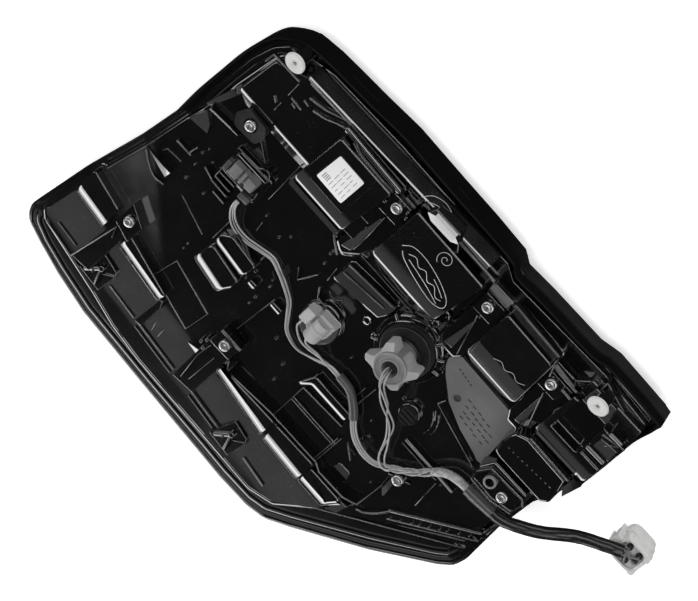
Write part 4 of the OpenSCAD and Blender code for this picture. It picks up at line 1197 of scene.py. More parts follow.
# plateaus with broad shoulders along the low side
P(prism(S([(-203, -70.5, 3), (-167.5, -76, 2), (-167.5, -50, 1.5), (-203, -40.5, 3)], 50), 34, 50, 1.0, 1.5, 0.03, wide=8.6, soft=3.0, wang=(10, 28)))
P(prism(S([(-151, -77.5, 4), (-96.5, -87, 3), (-95, -73.5, 2), (-147, -58.5, 3)], 48), 34, 48, 1.0, 1.5, 0.03, wide=9.0, soft=3.6, wang=(13, 34)))
P(prism(S([(-27, -90.5, 3), (35, -102, 2), (35, -80, 2), (-25, -80, 3)], 51), 34, 51, 1.0, 1.5, 0.03, wide=9.2, soft=3.0, wang=(10, 28)))
P(prism(S([(37.5, -102.5, 2), (80, -106, 2), (80, -80, 2), (37.5, -80, 2)], 51), 34, 51, 1.0, 1.5, 0.03, wide=9.4, soft=3.0, wang=(9, 28)))
P(prism(S([(80.5, -105.5, 2), (108, -106.5, 5), (112, -100, 3), (120, -88, 3), (112, -85, 2), (80.5, -84, 2)], 50), 34, 50, 1.0, 1.5, 0.03, wide=8.6, soft=3.0, wang=(13, 33)))
ribs([(-24, -72), (-20, -80), (28, -76.4), (80, -77.2), (87, -81.4), (114, -81.4), (125.5, -76), (126.5, -45), (133, -52)], 1.7, 49.0, 38)
rib((28, -80), (80, -82), 1.2, 47.6, 38)
rib((87, -86), (122, -85), 1.3, 47.4, 38)
P(facet([(120, -96, 45), (122, -82, 46), (112, -100, 44), (116, -84, 46)], 34))
for q in ((-48, -73), (-50.5, -78), (-24, -74), (-20.5, -79), (-46, -81)):
    P(boss(*seen(*q, 48), 2.1, 38, 48.5, 1.0, 0.8, n=20))
P(facet([(-57, -88, 43), (-47, -85.5, 47), (-47, -89.5, 46)], 36))
# two humps near the middle
P(prism(S([(-102, -32, 5), (-70, -38.5, 5), (-64, -27, 4), (-62, -14, 4), (-98, -7, 5)], 46), 37, 46.5, 1.6, 1.5, 0.05, wide=8.5, soft=3.0, wang=(9, 30)))
P(prism(S([(-99, -5.8, 5), (-65, -10.6, 3), (-62, -4, 4), (-60, 7, 5), (-90, 11, 6), (-99, 4, 5)], 51), 37, 51.5, 1.6, 1.5, 0.05, wide=4.0, soft=2.4))
P(prism(S([(-58, -10, 1.5), (-50.5, -10.4, 1.5), (-50.5, -4, 1.5), (-58, -4, 1.5)], 46), 37, 46.5, 0.9, 1.0, wide=2.4, soft=1.5))
P(prism(S([(-34, -9, 1.5), (-23.5, -9.4, 1.5), (-23, -3, 1.5), (-34, -3, 1.5)], 46), 37, 46.5, 0.9, 1.0, wide=2.4, soft=1.5))
rib((-34, -1), (-38, -45), 1.3, 43.5, 38)
# thin rectangle and short rib
ribs([(-113, -68), (-108, -43), (-62, -56), (-66, -81), (-113, -68)], 1.5, 41.8, 36)
P(prism(S([(-99.5, -112, 1.5), (-91.5, -111, 1.5), (-90.5, -84, 1.5), (-93, -77.5, 2), (-96, -78.5, 2)], 45), 34, 46, 1.2, 1.0, sink=3))
rib((-88, -82), (-84, -106), 1.4, 38.6, 34)
rib((-78, -82), (-77, -106), 1.4, 38.6, 34)
# arm with the third screw
P(prism(S([(-46, -72, 2), (-24.5, -72, 2), (-24, -57, 1), (-46, -56, 1)], 51), F0 - 2, 51.5, 0.9, 1.2, sink=3))
rib((-45, -56.4), (-24, -57), 2.2, 54.0, 46, 1.0)
P(prism(S([(-48, -121, 2), (-26, -119, 2), (-25, -70, 2), (-48, -70, 2)], 45), 34, 45.5, 0.9, 1.0, sink=3))
ribs([(-43, -74), (-44.8, -90), (-42, -116)], 1.5, 48.8, 38)
rib((-34, -80), (-36, -112), 1.4, 46.4, 40)
# inner rectangle and the ribs under the sleeve
ribs([(30, -36), (30, -75)], 1.2, 42.4, 38)
rib((30, -50), (79, -51.5), 1.3, 43.0, 38)
rib((30, -52.6), (79, -54), 1.1, 42.4, 38)
rib((79, -44), (78.4, -77), 1.3, 43.0, 38)
rib((76.8, -46), (76.4, -76), 1.0, 42.2, 38)
P(prism(S([(23.5, -37.5, 1.5), (27, -39, 1.5), (33, -31.6, 2), (70, -32.5, 2), (71, -22, 3), (30, -21, 4)], 46), 37, 46.5, 1.2, 1.2, wide=3.4, soft=1.8))
rib((30, -37.4), (72, -36), 1.5, 43.4, 38)
P(prism(S([(88, -72, 3), (108, -72, 3), (104, -60, 3), (92, -60, 3)], 41), 36, 41.6, 1.2, 1.0, top=lambda x, y: 40 + (y + 78) * 0.08, sink=3))
# ribs on the field
for a_, b_, w, z in (((-171, 32), (-156, 32), 1.7, 44.5), ((-158, 32), (-156, 41), 1.6, 44.5), ((-174, 17), (-172, 21), 1.1, 41.4),
                     ((-172, 21), (-158, 22), 1.1, 41.4), ((-140, 2), (-108, -9), 1.0, 40.9), ((-100, 20), (-100.5, -4), 1.1, 41.0),
                     ((-95.5, -111), (-50, -117), 1.8, 39.0), ((-27, -119), (8, -124), 1.9, 39.5), ((39, -126), (66, -131), 1.9, 39.0),
                     ((-132, -106.5), (-101, -110.6), 1.4, 38.4), ((-196, -101), (-173, -104), 1.3, 38.2), ((-96, -115.5), (-50, -121.5), 1.2, 38.0),
                     ((-27, -123.5), (5, -128), 1.2, 38.0), ((-205, -108), (-160, -116), 1.0, 38.0), ((112, -1), (165, -3), 2.8, 45),
                     ((112, -5), (150, -6), 1.2, 43), ((152, -8), (155, -36), 1.7, 44.5), ((67, -14), (68, 10), 1.7, 45), ((62, 4), (62, -8), 1.4, 44),
                     ((107, 42), (160, 26.5), 1.3, 42.4), ((107, 42), (109, 49), 1.4, 43), ((110, 36), (115, 30), 1.4, 43),
                     ((123, -34), (140, -26), 1.4, 43), ((170, 8), (172, 20), 1.8, 46), ((206, 8), (207, -6), 1.8, 42),
                     ((84, -42), (96, -52), 1.2, 41.6), ((-152, -57), (-130, -66), 1.2, 44)):
    rib(a_, b_, w, z)
P(facet([(-185, 9, 44.5), (-159, 2, 45), (-158, 7.6, 47.5), (-166, 7.6, 47.5)], 36))
curve_rib([(-184, 7), (-178, 1.6), (-170, -3.6), (-164, -5.4), (-156, -4)], 1.5, 44.5, 36)
curve_rib([(128, -79.5), (134, -76), (140, -69), (145, -60), (146.5, -56)], 1.9, 43.5, 36)
# ribs of the rim in the low corner
for a_, b_, w, z in (((145, -58), (204, -9), 2.6, 43.5), ((149, -64), (207, -16), 1.5, 41), ((118, -94), (200, -25), 1.6, 39.5),
                     ((124, -78), (112, -100), 1.2, 42), ((96, -116), (204, -30), 1.2, 37.6), ((204, -9), (205, 6), 2.0, 42.5)):
    rib(a_, b_, w, z, z - 7)
rs = random.Random(11)
for k in range(9):
    t = k / 9 + rs.uniform(-0.03, 0.03)
    P(boss(*seen(150 + 55 * t, -61 + 48 * t, 42), 0.9, 38, 43.4, 0.4, 0.3, n=10))
# clip pads with their dark hooks
for dx, dy in ((0, 0), (165.5, -18)):
    P(prism(S([(-161 + dx, -115 + dy, 1.5), (-136 + dx, -118 + dy, 1.5), (-133 + dx, -96 + dy, 2), (-135.5 + dx, -92 + dy, 2), (-152 + dx, -88 + dy, 2)], 41), 34, 41.4, 0.7, 0.8, sink=3))
    rib((-156 + dx, -113 + dy), (-146 + dx, -101 + dy), 3.6, 45.0, 38, 1.0)
    rib((-146 + dx, -101 + dy), (-142 + dx, -116 + dy), 3.6, 45.0, 38, 1.0)
    rib((-143 + dx, -104 + dy), (-134.5 + dx, -97 + dy), 1.0, 43.0, 38)
    P(boss(*seen(-146 + dx, -101 + dy, 46), 3.0, 38, 46.5, 1.0, 0.5, n=20))
    P(boss(*seen(-150 + dx, -109 + dy, 46), 1.2, 38, 46.2, 0.5, 0.4, n=12))
# large socket: rings and lugs
LX, LY = 62, 53
P(boss(LX, LY, 28.5, F0 - 1, 45, 1.5, 2.0, n=96, sink=2))
P(boss(LX, LY, 25.0, F0 - 1, 48, 1.2, 1.0, n=96))
P(ring_torus(LX, LY, 45.0, 26.8, 0.9, 96, 10))
P(ring_torus(LX, LY, 48.0, 23.6, 0.8, 96, 10))
for a in (-150, -60, 10, 35, 62, 96, 150):
    ca, sa = math.cos(math.radians(a)), math.sin(math.radians(a))
    P(bar((LX + 23.5 * ca, LY + 23.5 * sa), (LX + 30.5 * ca, LY + 30.5 * sa), 3.2, 42, 48.6, 1.2, 0.6))
P(prism(S([(34, 39.5, 1.5), (48, 39.5, 1.5), (48, 43.5, 1.5), (34, 44, 1.5)], 47), F0 - 1, 47, 1.4, 1.0, wide=1.6))
# small socket
SX, SY = 3, 12
P(boss(SX, SY, 17.5, F0 - 1, 46, 1.5, 2.0, n=72, sink=2))
# vent boss
P(boss(99, 14, 9.0, F0 - 1, 45.6, 1.0, 1.5, n=40, sink=2))
for r_, a0, a1 in ((19, -10, 55), (23, 0, 48)):
    q = [(99 + r_ * math.cos(math.radians(a)), 14 + r_ * math.sin(math.radians(a))) for a in np.linspace(a0, a1, 6)]
    for k in range(5):
        P(bar(q[k], q[k + 1], 1.3, F0 - 1, 42.6, 0.5, 0.5))
# seat of the LED lead's plug
P(prism(rect(-135, -97, 40, 66, 2), F0 - 1, 46, 1.0, 1.5))
for a_, b_, z in (((-132, 57), (-132, 36), 51), ((-128, 56), (-128, 44), 52), ((-132, 41), (-116, 41), 50), ((-132, 35.4), (-116, 35), 49), ((-132, 30.6), (-115, 29.8), 47.5),
                  ((-125, 24.6), (-113, 24), 45), ((-142, 34), (-130, 30.6), 46.5)):
    rib(a_, b_, 1.6, z, 38)
curve_rib([(-112, 68), (-108, 71), (-104, 71), (-101, 67), (-101, 63)], 1.5, 47, 38)
P(boss(*seen(-108, 67, 47), 1.7, 38, 48, 0.7, 0.5, n=16))
curve_rib([(-100, 52), (-99, 46), (-102, 43), (-109, 42.6)], 1.3, 50, 44)
# seats of the pads
for q in ((-146, 153, 52), (182, 147, 60)):
    P(leaned(lathe(0, 0, [(6.6, -16), (6.6, -1.6), (6.0, -0.8), (5.0, -0.5), (4.1, -0.5)], 40), q))
    C(leaned(lathe(0, 0, [(4.03, -9.1), (4.03, 3.0)], 40), q))
# screw seats
SCREWS = [(-138, 90, 54), (-155, -48, 54), (-35, -62, 54), (-20, 134, 56), (77, 133, 56), (149, 128, 56), (132, -35, 46)]
for sx, sy, sz in SCREWS:
    P(boss(sx, sy, 5.6, 36, sz - 0.05, 0.7, 1.0))
# small nubs left by the moulding
rs = random.Random(7)
for x, y in ((-60, 42), (-66, 34), (-28, 48), (38, 8), (84, -18), (120, -58), (-84, 40), (52, -14), (10, -58), (168, 4), (88, 18), (-12, -30), (156, -12), (-130, 12), (-150, 24),
             (-152, 36), (-141, 36), (-150, 42), (-148, 10), (-46, 4), (-44, -2), (-46, -18), (-46, -26), (-30, 62), (-30, 58), (-60, -2), (-62, -12), (-112, -36), (-112, -30), (92, -30), (90, -36), (6, -42)):
    P(boss(x, y, 0.9 + rs.random() * 0.8, F0 - 2, 41.0 + rs.random() * 1.4, 0.5, 0.4, n=12))

# cavities and bores, so that the wall stays thin
W = 3.0
C(levels(rnd(STEP, 10), [(W, 20), (W, 31)]))
C(levels(rnd(FIELD, 6), [(W + 4, 20), (W + 4, 32.5)]))


def cav(poly, z1, z0=30):
    C(levels(poly, [(0, z0), (0, z1)]))


cav(rect(-86, -42, 95, 134, 3), 60)
cav(rect(-9, 57, 102, 146, 3), 62)
cav(rect(91, 134, 100, 141, 3), 58)
cav([(164, 56, 2), (169, 53, 2), (208, 53, 2), (213, 59, 2), (211, 75, 2), (206, 84, 2), (169, 85, 2), (163, 79, 2)], 58)
cav(rect(-24, 32, -97, -87, 2), 46)
cav(rect(40, 76, -100, -88, 2), 46)
cav([(-157, 107, 2), (-40, 104, 2), (-27, 104, 2), (-30, 144, 2), (-128, 147, 2), (-152, 136, 2)], 46.5)
cav(rect(168, 200, 29, 46, 2), 50)


def bore(cx, cy, r, z0, z1, n=64):
    C(lathe(cx, cy, [(r, z0), (r, z1)], n))


bore(LX, LY, 16.0, 15, 70, 72)
bore(SX, SY, 10.5, 15, 70, 56)
bore(99, 14, 4.0, 20, 70, 32)
C(levels(rect(-126, -108, 46, 59, 0.3), [(0, 15), (0, 60)]))
for sx, sy, sz in SCREWS:
    bore(sx, sy, 1.9, sz - 14, sz + 10, 20)

housing = merge(pos, "housing_shell")
housing = boolean(housing, field, "UNION")
cutter = merge(neg, "cutter")
housing = boolean(housing, cutter, "DIFFERENCE")
finish_mesh(housing, M_BLACK, 33)
weighted(housing)
piece(housing, ["housing"], "black_plastic")
# the rib-top strips: painted highlight and edge wear
ob = obj_of("edge_wear_and_painted_highlight_strips", wear_highlight_strips, M_WEAR_HIGHLIGHT, 50)
piece(ob, ["housing"], "black_plastic")

# skirt wall: its own finish, seen from outside
sk = [(-188, 46), (-187, 70), (-184, 97), (-181, 121), (-175, 143), (-167, 154), (-152, 164), (-132, 167), (-112, 168), (-85, 169), (-51, 171),
      (-1, 169), (34, 168), (66, 166), (76, 160), (102, 161), (153, 161), (170, 165), (220, 163), (225, 158), (222, 136), (223, 105), (223, 81)]


def wall(path, prof, n_path=3):
    """A band along an open path; prof is (inward, z) round its section."""
    p = np.array([(x, y, 0.0) for x, y in path])
    q = smooth_path(p, n_path)
    t = tangents(q)
    inw = np.stack([t[:, 1], -t[:, 0], np.zeros(len(t))], axis=1)
    rings = []
    for i in range(len(q)):
        rings.append([(q[i][0] + inw[i][0] * d, q[i][1] + inw[i][1] * d, z) for d, z in prof])
    return skin(rings)


SK = [(0.0, 14.0), (0.0, 39.5), (0.4, 41.2), (1.3, 42.0), (2.2, 41.4), (2.8, 39.8), (3.2, 36.0), (3.2, 31.0), (1.2, 29.0), (1.2, 14.0)]
v, f = wall(sk, SK)
skirt = temp_obj(v, [g[::-1] for g in f], "housing_skirt")
finish_mesh(skirt, M_SKIRT, 33)
piece(skirt, ["housing"], "black_plastic")

# frosted panel: a thin skin on the raised panel
fp = [(87.4, 74.5), (92.6, 82), (145.6, 80), (149, 73.5), (158, 72.5), (161, 66.5), (158, 56), (162, 31), (152, 34.6), (133, 39.8), (112, 49.2), (96, 62.5), (90.5, 68.5)]
panel = merge([prism(rnd(fp, 2), F0 - 1, 46, 1.0, 1.5)], "frosted_panel")
panel = boolean(panel, temp_obj(*lathe(113.4, 55.6, [(3.0, 43), (3.2, 50)], 36)), "DIFFERENCE")
finish_mesh(panel, M_FROST, 33)
weighted(panel)
piece(panel, ["housing"], "black_plastic")
rs = random.Random(21)
dash = []
for row, (n_d, y0_) in enumerate(((5, 62), (6, 57), (6, 52), (5, 47), (4, 42))):
    for k in range(n_d):
        x = 122 + 5.6 * k + 1.8 * row + rs.uniform(-0.7, 0.7)
        y = y0_ + 0.30 * (x - 120) * -0.35 + rs.uniform(-0.5, 0.5)
        if x < 158 and y > 38 + (158 - x) * 0.12:
            dash.append(prism(rect(x - 1.5 - rs.random(), x + 1.5, y - 0.45, y + 0.45, 0.3), 45.6, 46.22, 0.15, 0, 0, 2, 2, sink=0))
for k in range(5):
    dash.append(prism(rect(98 + 3.4 * k, 100 + 3.4 * k, 74 - 0.6 * k, 75 - 0.6 * k, 0.3), 45.6, 46.22, 0.15, 0, 0, 2, 2, sink=0))
ob = obj_of("panel_dashes", dash, M_DARK, 40)
piece(ob, ["housing"], "black_plastic")
# rubbed tab round the first screw
tab = merge([prism(S([(-151, 87.5, 2), (-147, 95.5, 2), (-130, 94, 2), (-125.5, 87.5, 2), (-128.5, 81, 2), (-147, 80, 2)], 53.4), 41, 53.4, 1.4, 0.5, 0.04)], "screw_tab")
tab = boolean(tab, temp_obj(*lathe(-138, 90, [(5.8, 30), (5.8, 60)], 32)), "DIFFERENCE")
finish_mesh(tab, M_TAB, 33)
weighted(tab)
piece(tab, ["housing"], "black_plastic")
# thin grease pencil strokes, a plain loop and hatching
def pen(pts, z, r=0.42):
    q = smooth_path([(*seen(x, y, z), z + 0.08) for x, y in pts], 5)
    return tube(q, r, 8, 0.16)


coil = [(31.5 + (0.6 + 0.62 * a) * math.cos(a), 131 + (0.6 + 0.62 * a) * math.sin(a)) for a in np.linspace(0, 10.5, 26)]
strokes = [pen([(2, 113), (9, 119), (23, 119.5), (41, 115), (54, 108), (55.5, 101), (46, 98), (28, 101), (11, 106), (5, 110)], 66, 0.24),
           pen([(10, 112), (16, 114.5), (22, 110.5), (28, 112.5), (34, 107.5), (40, 109), (46, 103.5), (51, 104.5)], 66, 0.24),
           pen([(13, 109), (26, 106.5), (39, 103.5), (50, 100)], 66, 0.22), pen([(36, 113), (43, 110.5), (50, 107)], 66, 0.22),
           pen(coil, 66, 0.22),
           pen([(-14, 152), (-8, 160), (2, 163), (12, 160), (20, 155)], 56, 0.22), pen([(-10, 152), (0, 157), (12, 156), (22, 150)], 56, 0.22),
           pen([(98.5, 118), (102, 121), (106, 119), (110, 122), (114, 120)], 62.3, 0.17),
           pen([(108, 104), (114, 107), (120, 104.5), (126, 107.5), (132, 105), (138, 108)], 62.3, 0.17)]
ob = obj_of("pencil_strokes", strokes, M_PEN, 60)
piece(ob, ["housing"], "black_plastic")

# ---------------------------------------------------------------- screws


def screw(z_lean=None):
    head = merge([lathe(0, 0, [(4.5, 0), (4.5, 0.7), (4.1, 1.05), (3.6, 1.2), (3.5, 2.0), (3.1, 2.7), (2.2, 3.05), (0.8, 3.15)], 40),
                  lathe(0, 0, [(1.9, -12.0), (1.9, 0.5)], 20)], "head")
    for a in (0.35, 0.35 + math.pi / 2):
        c, s = math.cos(a), math.sin(a)
        bx = [(x * c - y * s, x * s + y * c, z) for x, y, z in
              [(-2.3, -0.42, 1.6), (2.3, -0.42, 1.6), (2.3, 0.42, 1.6), (-2.3, 0.42, 1.6), (-2.5, -0.5, 5), (2.5, -0.5, 5), (2.5, 0.5, 5), (-2.5, 0.5, 5)]]
        head = boolean(head, temp_obj(bx, [[3, 2, 1, 0], [4, 5, 6, 7], [0, 1, 5, 4], [1, 2, 6, 5], [2, 3, 7, 6], [3, 0, 4, 7]]), "DIFFERENCE")
    me = head.data
    v = [tuple(c / MM for c in q.co) for q in me.vertices]
    f = [list(p.vertices) for p in me.polygons]
    bpy.data.objects.remove(head)
    return v, f


SCR = screw()
sc = []
for i, (sx, sy, sz) in enumerate(SCREWS):
    a = 0.7 * i
    v, f = SCR
    sc.append(([(sx + x * math.cos(a) - y * math.sin(a), sy + x * math.sin(a) + y * math.cos(a), sz + z) for x, y, z in v], f))
screws = obj_of("screws", sc, M_STEEL, 30)
piece(screws, ["housing_screws"], "screw_steel")
bs = obj_of("bracket_fixing_screw", [at(SCR, 190, 35, 62.5)], M_STEEL, 30)
piece(bs, ["bracket_screw"], "screw_steel")

# ---------------------------------------------------------------- round pads
for name, nd, p in (("pad_upper", "upper_pad", (-146, 153, 52)), ("pad_lower", "lower_pad", (182, 147, 60))):
    sh = lathe(0, 0, [(4.0, -9), (4.0, 0.0), (8.2, 0.0), (8.6, 0.3), (8.7, 0.8), (8.6, 1.5), (8.1, 1.9), (7.4, 2.0), (2.6, 1.9), (1.9, 1.6), (1.5, 1.2), (1.5, -5.9)], 56)
    ob = obj_of(name, [leaned(sh, p)], M_PAD, 40)
    piece(ob, [nd], "white_plastic")

# ---------------------------------------------------------------- label: bare paper with plain bars
LQ = [(-77.5, 108.5, 1.4), (-50.5, 107.2, 1.4), (-49.0, 133.2, 1.4), (-75.0, 134.2, 1.4)]
lab = merge([prism(LQ, 64.0, 64.3, 0.1, 0, 0, 4, 2, sink=0.2)], "paper_label")
finish_mesh(lab, M_LABEL, 40)
piece(lab, ["label"], "label_paper")
rs = random.Random(5)
ink = []
for k in range(5):
    for j in range(3):
        w_ = 3.0 + 3.0 * rs.random()
        x, y = -66.5 + 3.3 * k, 110.8 + 6.8 * j
        ink.append(prism(rect(x, x + 0.5, y, y + w_, 0.1), 64.2, 64.36, 0.04, 0, 0, 1, 1, sink=0))
for k in range(4):
    ink.append(prism(rect(-74.4 + 1.6 * k, -73.7 + 1.6 * k, 111.4, 116.6, 0.1), 64.2, 64.36, 0.04, 0, 0, 1, 1, sink=0))
ob = obj_of("label_bars", ink, M_INK, 40)
piece(ob, ["label"], "label_paper")

# ---------------------------------------------------------------- bulb holders


GRIP = [(46.2, 62.5, 1.6), (50.4, 67.4, 1.6), (56.5, 63.2, 3), (66, 65.0, 4), (73, 61.4, 3), (79.4, 64.6, 1.6), (81, 59.4, 1.6), (76.4, 53.4, 3), (75.2, 47.5, 3),
        (78.2, 40, 1.6), (74.4, 34.4, 1.6), (68.6, 38.6, 3), (60, 38.2, 4), (52, 40.4, 3), (44.4, 35.2, 1.6), (41.6, 40, 1.6), (47.2, 48, 3), (48.2, 56, 3)]
core = merge([prism(GRIP, 63.6, 86, 0.5, 0.0, 0.01, 5, 3, sink=0)], "grip")
core = boolean(core, temp_obj(*lathe(LX, LY, [(20, 58), (24, 64.6), (26, 67.4), (25.4, 70.2), (22, 73.4), (17.6, 77.2), (14.2, 80.2), (12.4, 81.6), (11.0, 81.8)], 96)), "INTERSECT")
lobes = boolean(core, temp_obj(*lathe(LX, LY, [(10.9, 50), (10.9, 90)], 90)), "DIFFERENCE")
lobes.name = "big_holder_lobes"
# lobes painted lighter than the cap: painted light on the wings
finish_mesh(lobes, M_LOBE_PAINTED_LIT, 33)
weighted(lobes)
piece(lobes, ["large_holder"], "grey_plastic")
foot = merge([
    lathe(LX, LY, [(15.2, 36), (15.5, 37), (15.5, 51.5)], 72),
    boss(LX, LY, 20.8, 50.2, 53, 0.8, 0.0, n=72, sink=0.2),
    lathe(LX, LY, [(13.4, 52), (13.0, 57.5), (12.2, 58)], 64)], "big_holder_foot")
foot = boolean(foot, temp_obj(*lathe(LX, LY, [(12.0, 54), (12.0, 60)], 64)), "DIFFERENCE")
foot = boolean(foot, temp_obj(*lathe(LX, LY, [(12.5, 30), (12.5, 46)], 48)), "DIFFERENCE")
finish_mesh(foot, M_DARK, 33)
weighted(foot)
piece(foot, ["large_holder"], "grey_plastic")
big = merge([
    lathe(LX, LY, [(11.5, 54.5), (11.5, 79), (13.2, 80.6), (13.4, 82.8), (13.2, 83.6), (12.4, 84.0), (11.8, 83.7), (11.4, 83.0), (8.0, 82.7), (7.6, 83.7), (6.9, 84.0)], 72),
    bar((LX - 10.6, LY - 3.0), (LX - 9.2, LY - 5.6), 1.0, 80, 84.0, 0.4, 0.0), bar((LX + 8.6, LY + 5.0), (LX + 10.2, LY + 2.4), 1.0, 80, 84.0, 0.4, 0.0)], "big_holder_cap")
big = boolean(big, temp_obj(*lathe(LX, LY, [(5.6, 66), (5.9, 77), (6.3, 82), (6.8, 84.5), (7.2, 90)], 48)), "DIFFERENCE")
finish_mesh(big, M_GREY, 33)
weighted(big)
piece(big, ["large_holder"], "grey_plastic")

flg = merge([
    lathe(SX, SY, [(9.7, 34), (10.0, 35), (10.0, 49.5)], 56),
    boss(SX, SY, 15.9, 48.2, 51, 0.7, 0.0, n=72, sink=0.2),
    ring_torus(SX, SY, 50.8, 14.2, 0.5, 72, 8)], "small_holder_flange")
finish_mesh(flg, M_DGREY, 35)
weighted(flg)
piece(flg, ["small_holder"], "light_grey_plastic")
sml = merge([
    boss(SX + 1, SY + 3, 10.5, 50.8, 57, 1.0, 0.6, n=56, sink=0),
    prism([(-2, 12, 2), (13.6, 12, 1.6), (15, 27.5, 1.6), (-2, 27.5, 2)], 50.8, 60.5, 1.0, 0.5, 0.03, sink=0),
    prism([(10.2, 12.6, 0.5), (11.6, 12.6, 0.5), (13.4, 27, 0.5), (11.8, 27, 0.5)], 56, 62.0, 0.5, 0, 0.0, sink=0),
    oriented(lathe(0, 0, [(6.4, -14.5), (6.9, -13.6), (6.9, -8.0), (7.7, -7.7), (7.7, -6.4), (6.9, -6.1), (6.9, 2.8), (6.5, 3.6), (5.6, 3.9)], 48), (5.2, 10.6, 62.2), (0, -1, 0.03), (1, 0, 0)),
    prism([(-12.4, 14.5, 1.4), (-3.4, 14.5, 1.4), (-3.0, 27.2, 1.4), (-12.4, 27.2, 1.4)], 55.5, 67.0, 1.3, 0.0, 0.02, sink=0),
    prism([(-9, 14, 2), (3, 14, 2), (3, 25, 2), (-9, 25, 2)], 50.8, 60, 1.2, 0.8, 0.02, sink=0),
], "small_holder_body")
sml = boolean(sml, temp_obj(*oriented(lathe(0, 0, [(2.9, -9), (3.0, 9)], 28), (-7.9, 14.5, 62.4), (0, -1, 0))), "DIFFERENCE")
sml = boolean(sml, temp_obj(*oriented(lathe(0, 0, [(4.7, -3.5), (5.0, 9)], 36), (5.2, 6.9, 62.3), (0, -1, 0.03))), "DIFFERENCE")
finish_mesh(sml, M_LGREY, 33)
weighted(sml)
piece(sml, ["small_holder"], "light_grey_plastic")

# ---------------------------------------------------------------- harness
COMMON = [(32, -8.5, 45), (42, -8.5, 45.5), (56, -10.5, 45.5), (68, -19.5, 45.5), (74, -26, 45.5), (80, -32.5, 45.5),
          (88, -38, 45.5), (98, -41, 45.5), (106, -40.5, 46), (112, -38, 46), (121, -31, 46)]
LED_ROUTE = [(-106, 37, 53), (-106, 33, 53), (-104, 26, 50.5), (-99, 18, 46.5), (-92, 13, 43.5), (-82, 12, 42.2), (-70, 15, 42.2),
             (-58, 18, 42.8), (-48, 15, 43.2), (-38, 10, 42.8), (-26, 2, 42), (-18, -8, 42.5), (-10, -17, 43), (4, -21, 43), (18, -16, 43.5)] + COMMON
SMALL_A = [(-7.9, 18, 62.4), (-7.9, 13.5, 62.4), (-8.2, 9.5, 61.6), (-8.2, 4, 58), (-6.5, -2, 53), (-2.5, -8, 48.6), (3, -12, 46.4), (10, -12.5, 45.6), (18, -11, 45.4), (25, -9.6, 45.2)] + COMMON
SMALL_B = [(4.6, 9, 62), (4.8, 5.5, 62), (7, 1.5, 60.4), (12, -1.6, 55.5), (18, -4.4, 50), (25, -7.2, 46.8)] + COMMON
LARGE_ROUTE = [(62, 50.5, 78), (62, 50, 84), (62.8, 48, 88.2), (66, 42, 89), (72, 34, 83.5), (79, 25, 76), (87, 14, 66),
               (95, 3, 58), (101, -8, 53), (105, -18, 50.5), (108, -26, 49.4), (112, -31.5, 48.8), (117.4, -33.8, 48.6), (121, -31, 48.6)]


def twisted(route, n, R, r, turns, start=0.0, flat=0.75, ends=0.5, m=10):
    """n strands laid loosely round one route."""
    p = smooth_path(route, 5)
    t, s_, o = path_frame(p)
    d = np.concatenate([[0], np.cumsum(np.linalg.norm(np.diff(p, axis=0), axis=1))])
    u = d / d[-1]
    out = []
    for k in range(n):
        th = start + 2 * math.pi * k / n + turns * 2 * math.pi * u + 0.35 * np.sin(9 * u + 2 * k)
        R_ = R * (ends + (1 - ends) * np.clip(np.minimum(u, 1 - u) / 0.10, 0, 1)) * (1 + 0.18 * np.sin(13 * u + 1.7 * k))
        q = p + (R_ * np.cos(th))[:, None] * s_ + (flat * R_ * np.sin(th))[:, None] * o
        out.append(tube(q, r, m))
    return out


ob = obj_of("led_lead", twisted(LED_ROUTE, 2, 2.5, 0.80, 0.5, 0.1, 0.30, 0.4) + twisted(LED_ROUTE, 1, 0.5, 0.6, 0.5, 4.6), M_WIRE, 50)
piece(ob, ["led_wires"], "wire_insulation")
ob = obj_of("small_lead", [tube(smooth_path(SMALL_A, 5), 0.86, 10), tube(beside(smooth_path(SMALL_B, 5), 1.4, 0.8), 0.86, 10)], M_WIRE, 50)
piece(ob, ["small_holder_wires"], "wire_insulation")
ob = obj_of("large_lead", twisted(LARGE_ROUTE, 3, 2.5, 0.72, 0.9, 0.4, 0.75, 0.6), M_WIRE, 50)
piece(ob, ["large_holder_wires"], "wire_insulation")
TAPE = [(121, -31, 46), (130, -24, 46), (138, -15, 46.6), (144, -5, 47.6), (150, 3.5, 49), (157, 8, 50), (164.1, 9.4, 50), (170, 9.9, 50)]
p = smooth_path(TAPE[3:], 8)
rr = 3.5 * (1 + 0.05 * np.sin(np.arange(len(p)) * 2.1))
rr[:5] = np.linspace(2.7, 3.5, 5)
ob = obj_of("taped_wires", twisted(TAPE, 6, 2.5, 0.84, 0.9, 0.3, 0.9, 0.8) + [tube(p, rr, 20)], M_TAPE, 60)
piece(ob, ["taped_bundle"], "tape")
sl = smooth_path([COMMON[1], COMMON[2], COMMON[3], COMMON[4]], 6)
ob = obj_of("shrink_tube", [tube(sl, 3.7, 20, 3.4)], M_SLEEVE, 60)
piece(ob, ["shrink_sleeve"], "sleeve_plastic")

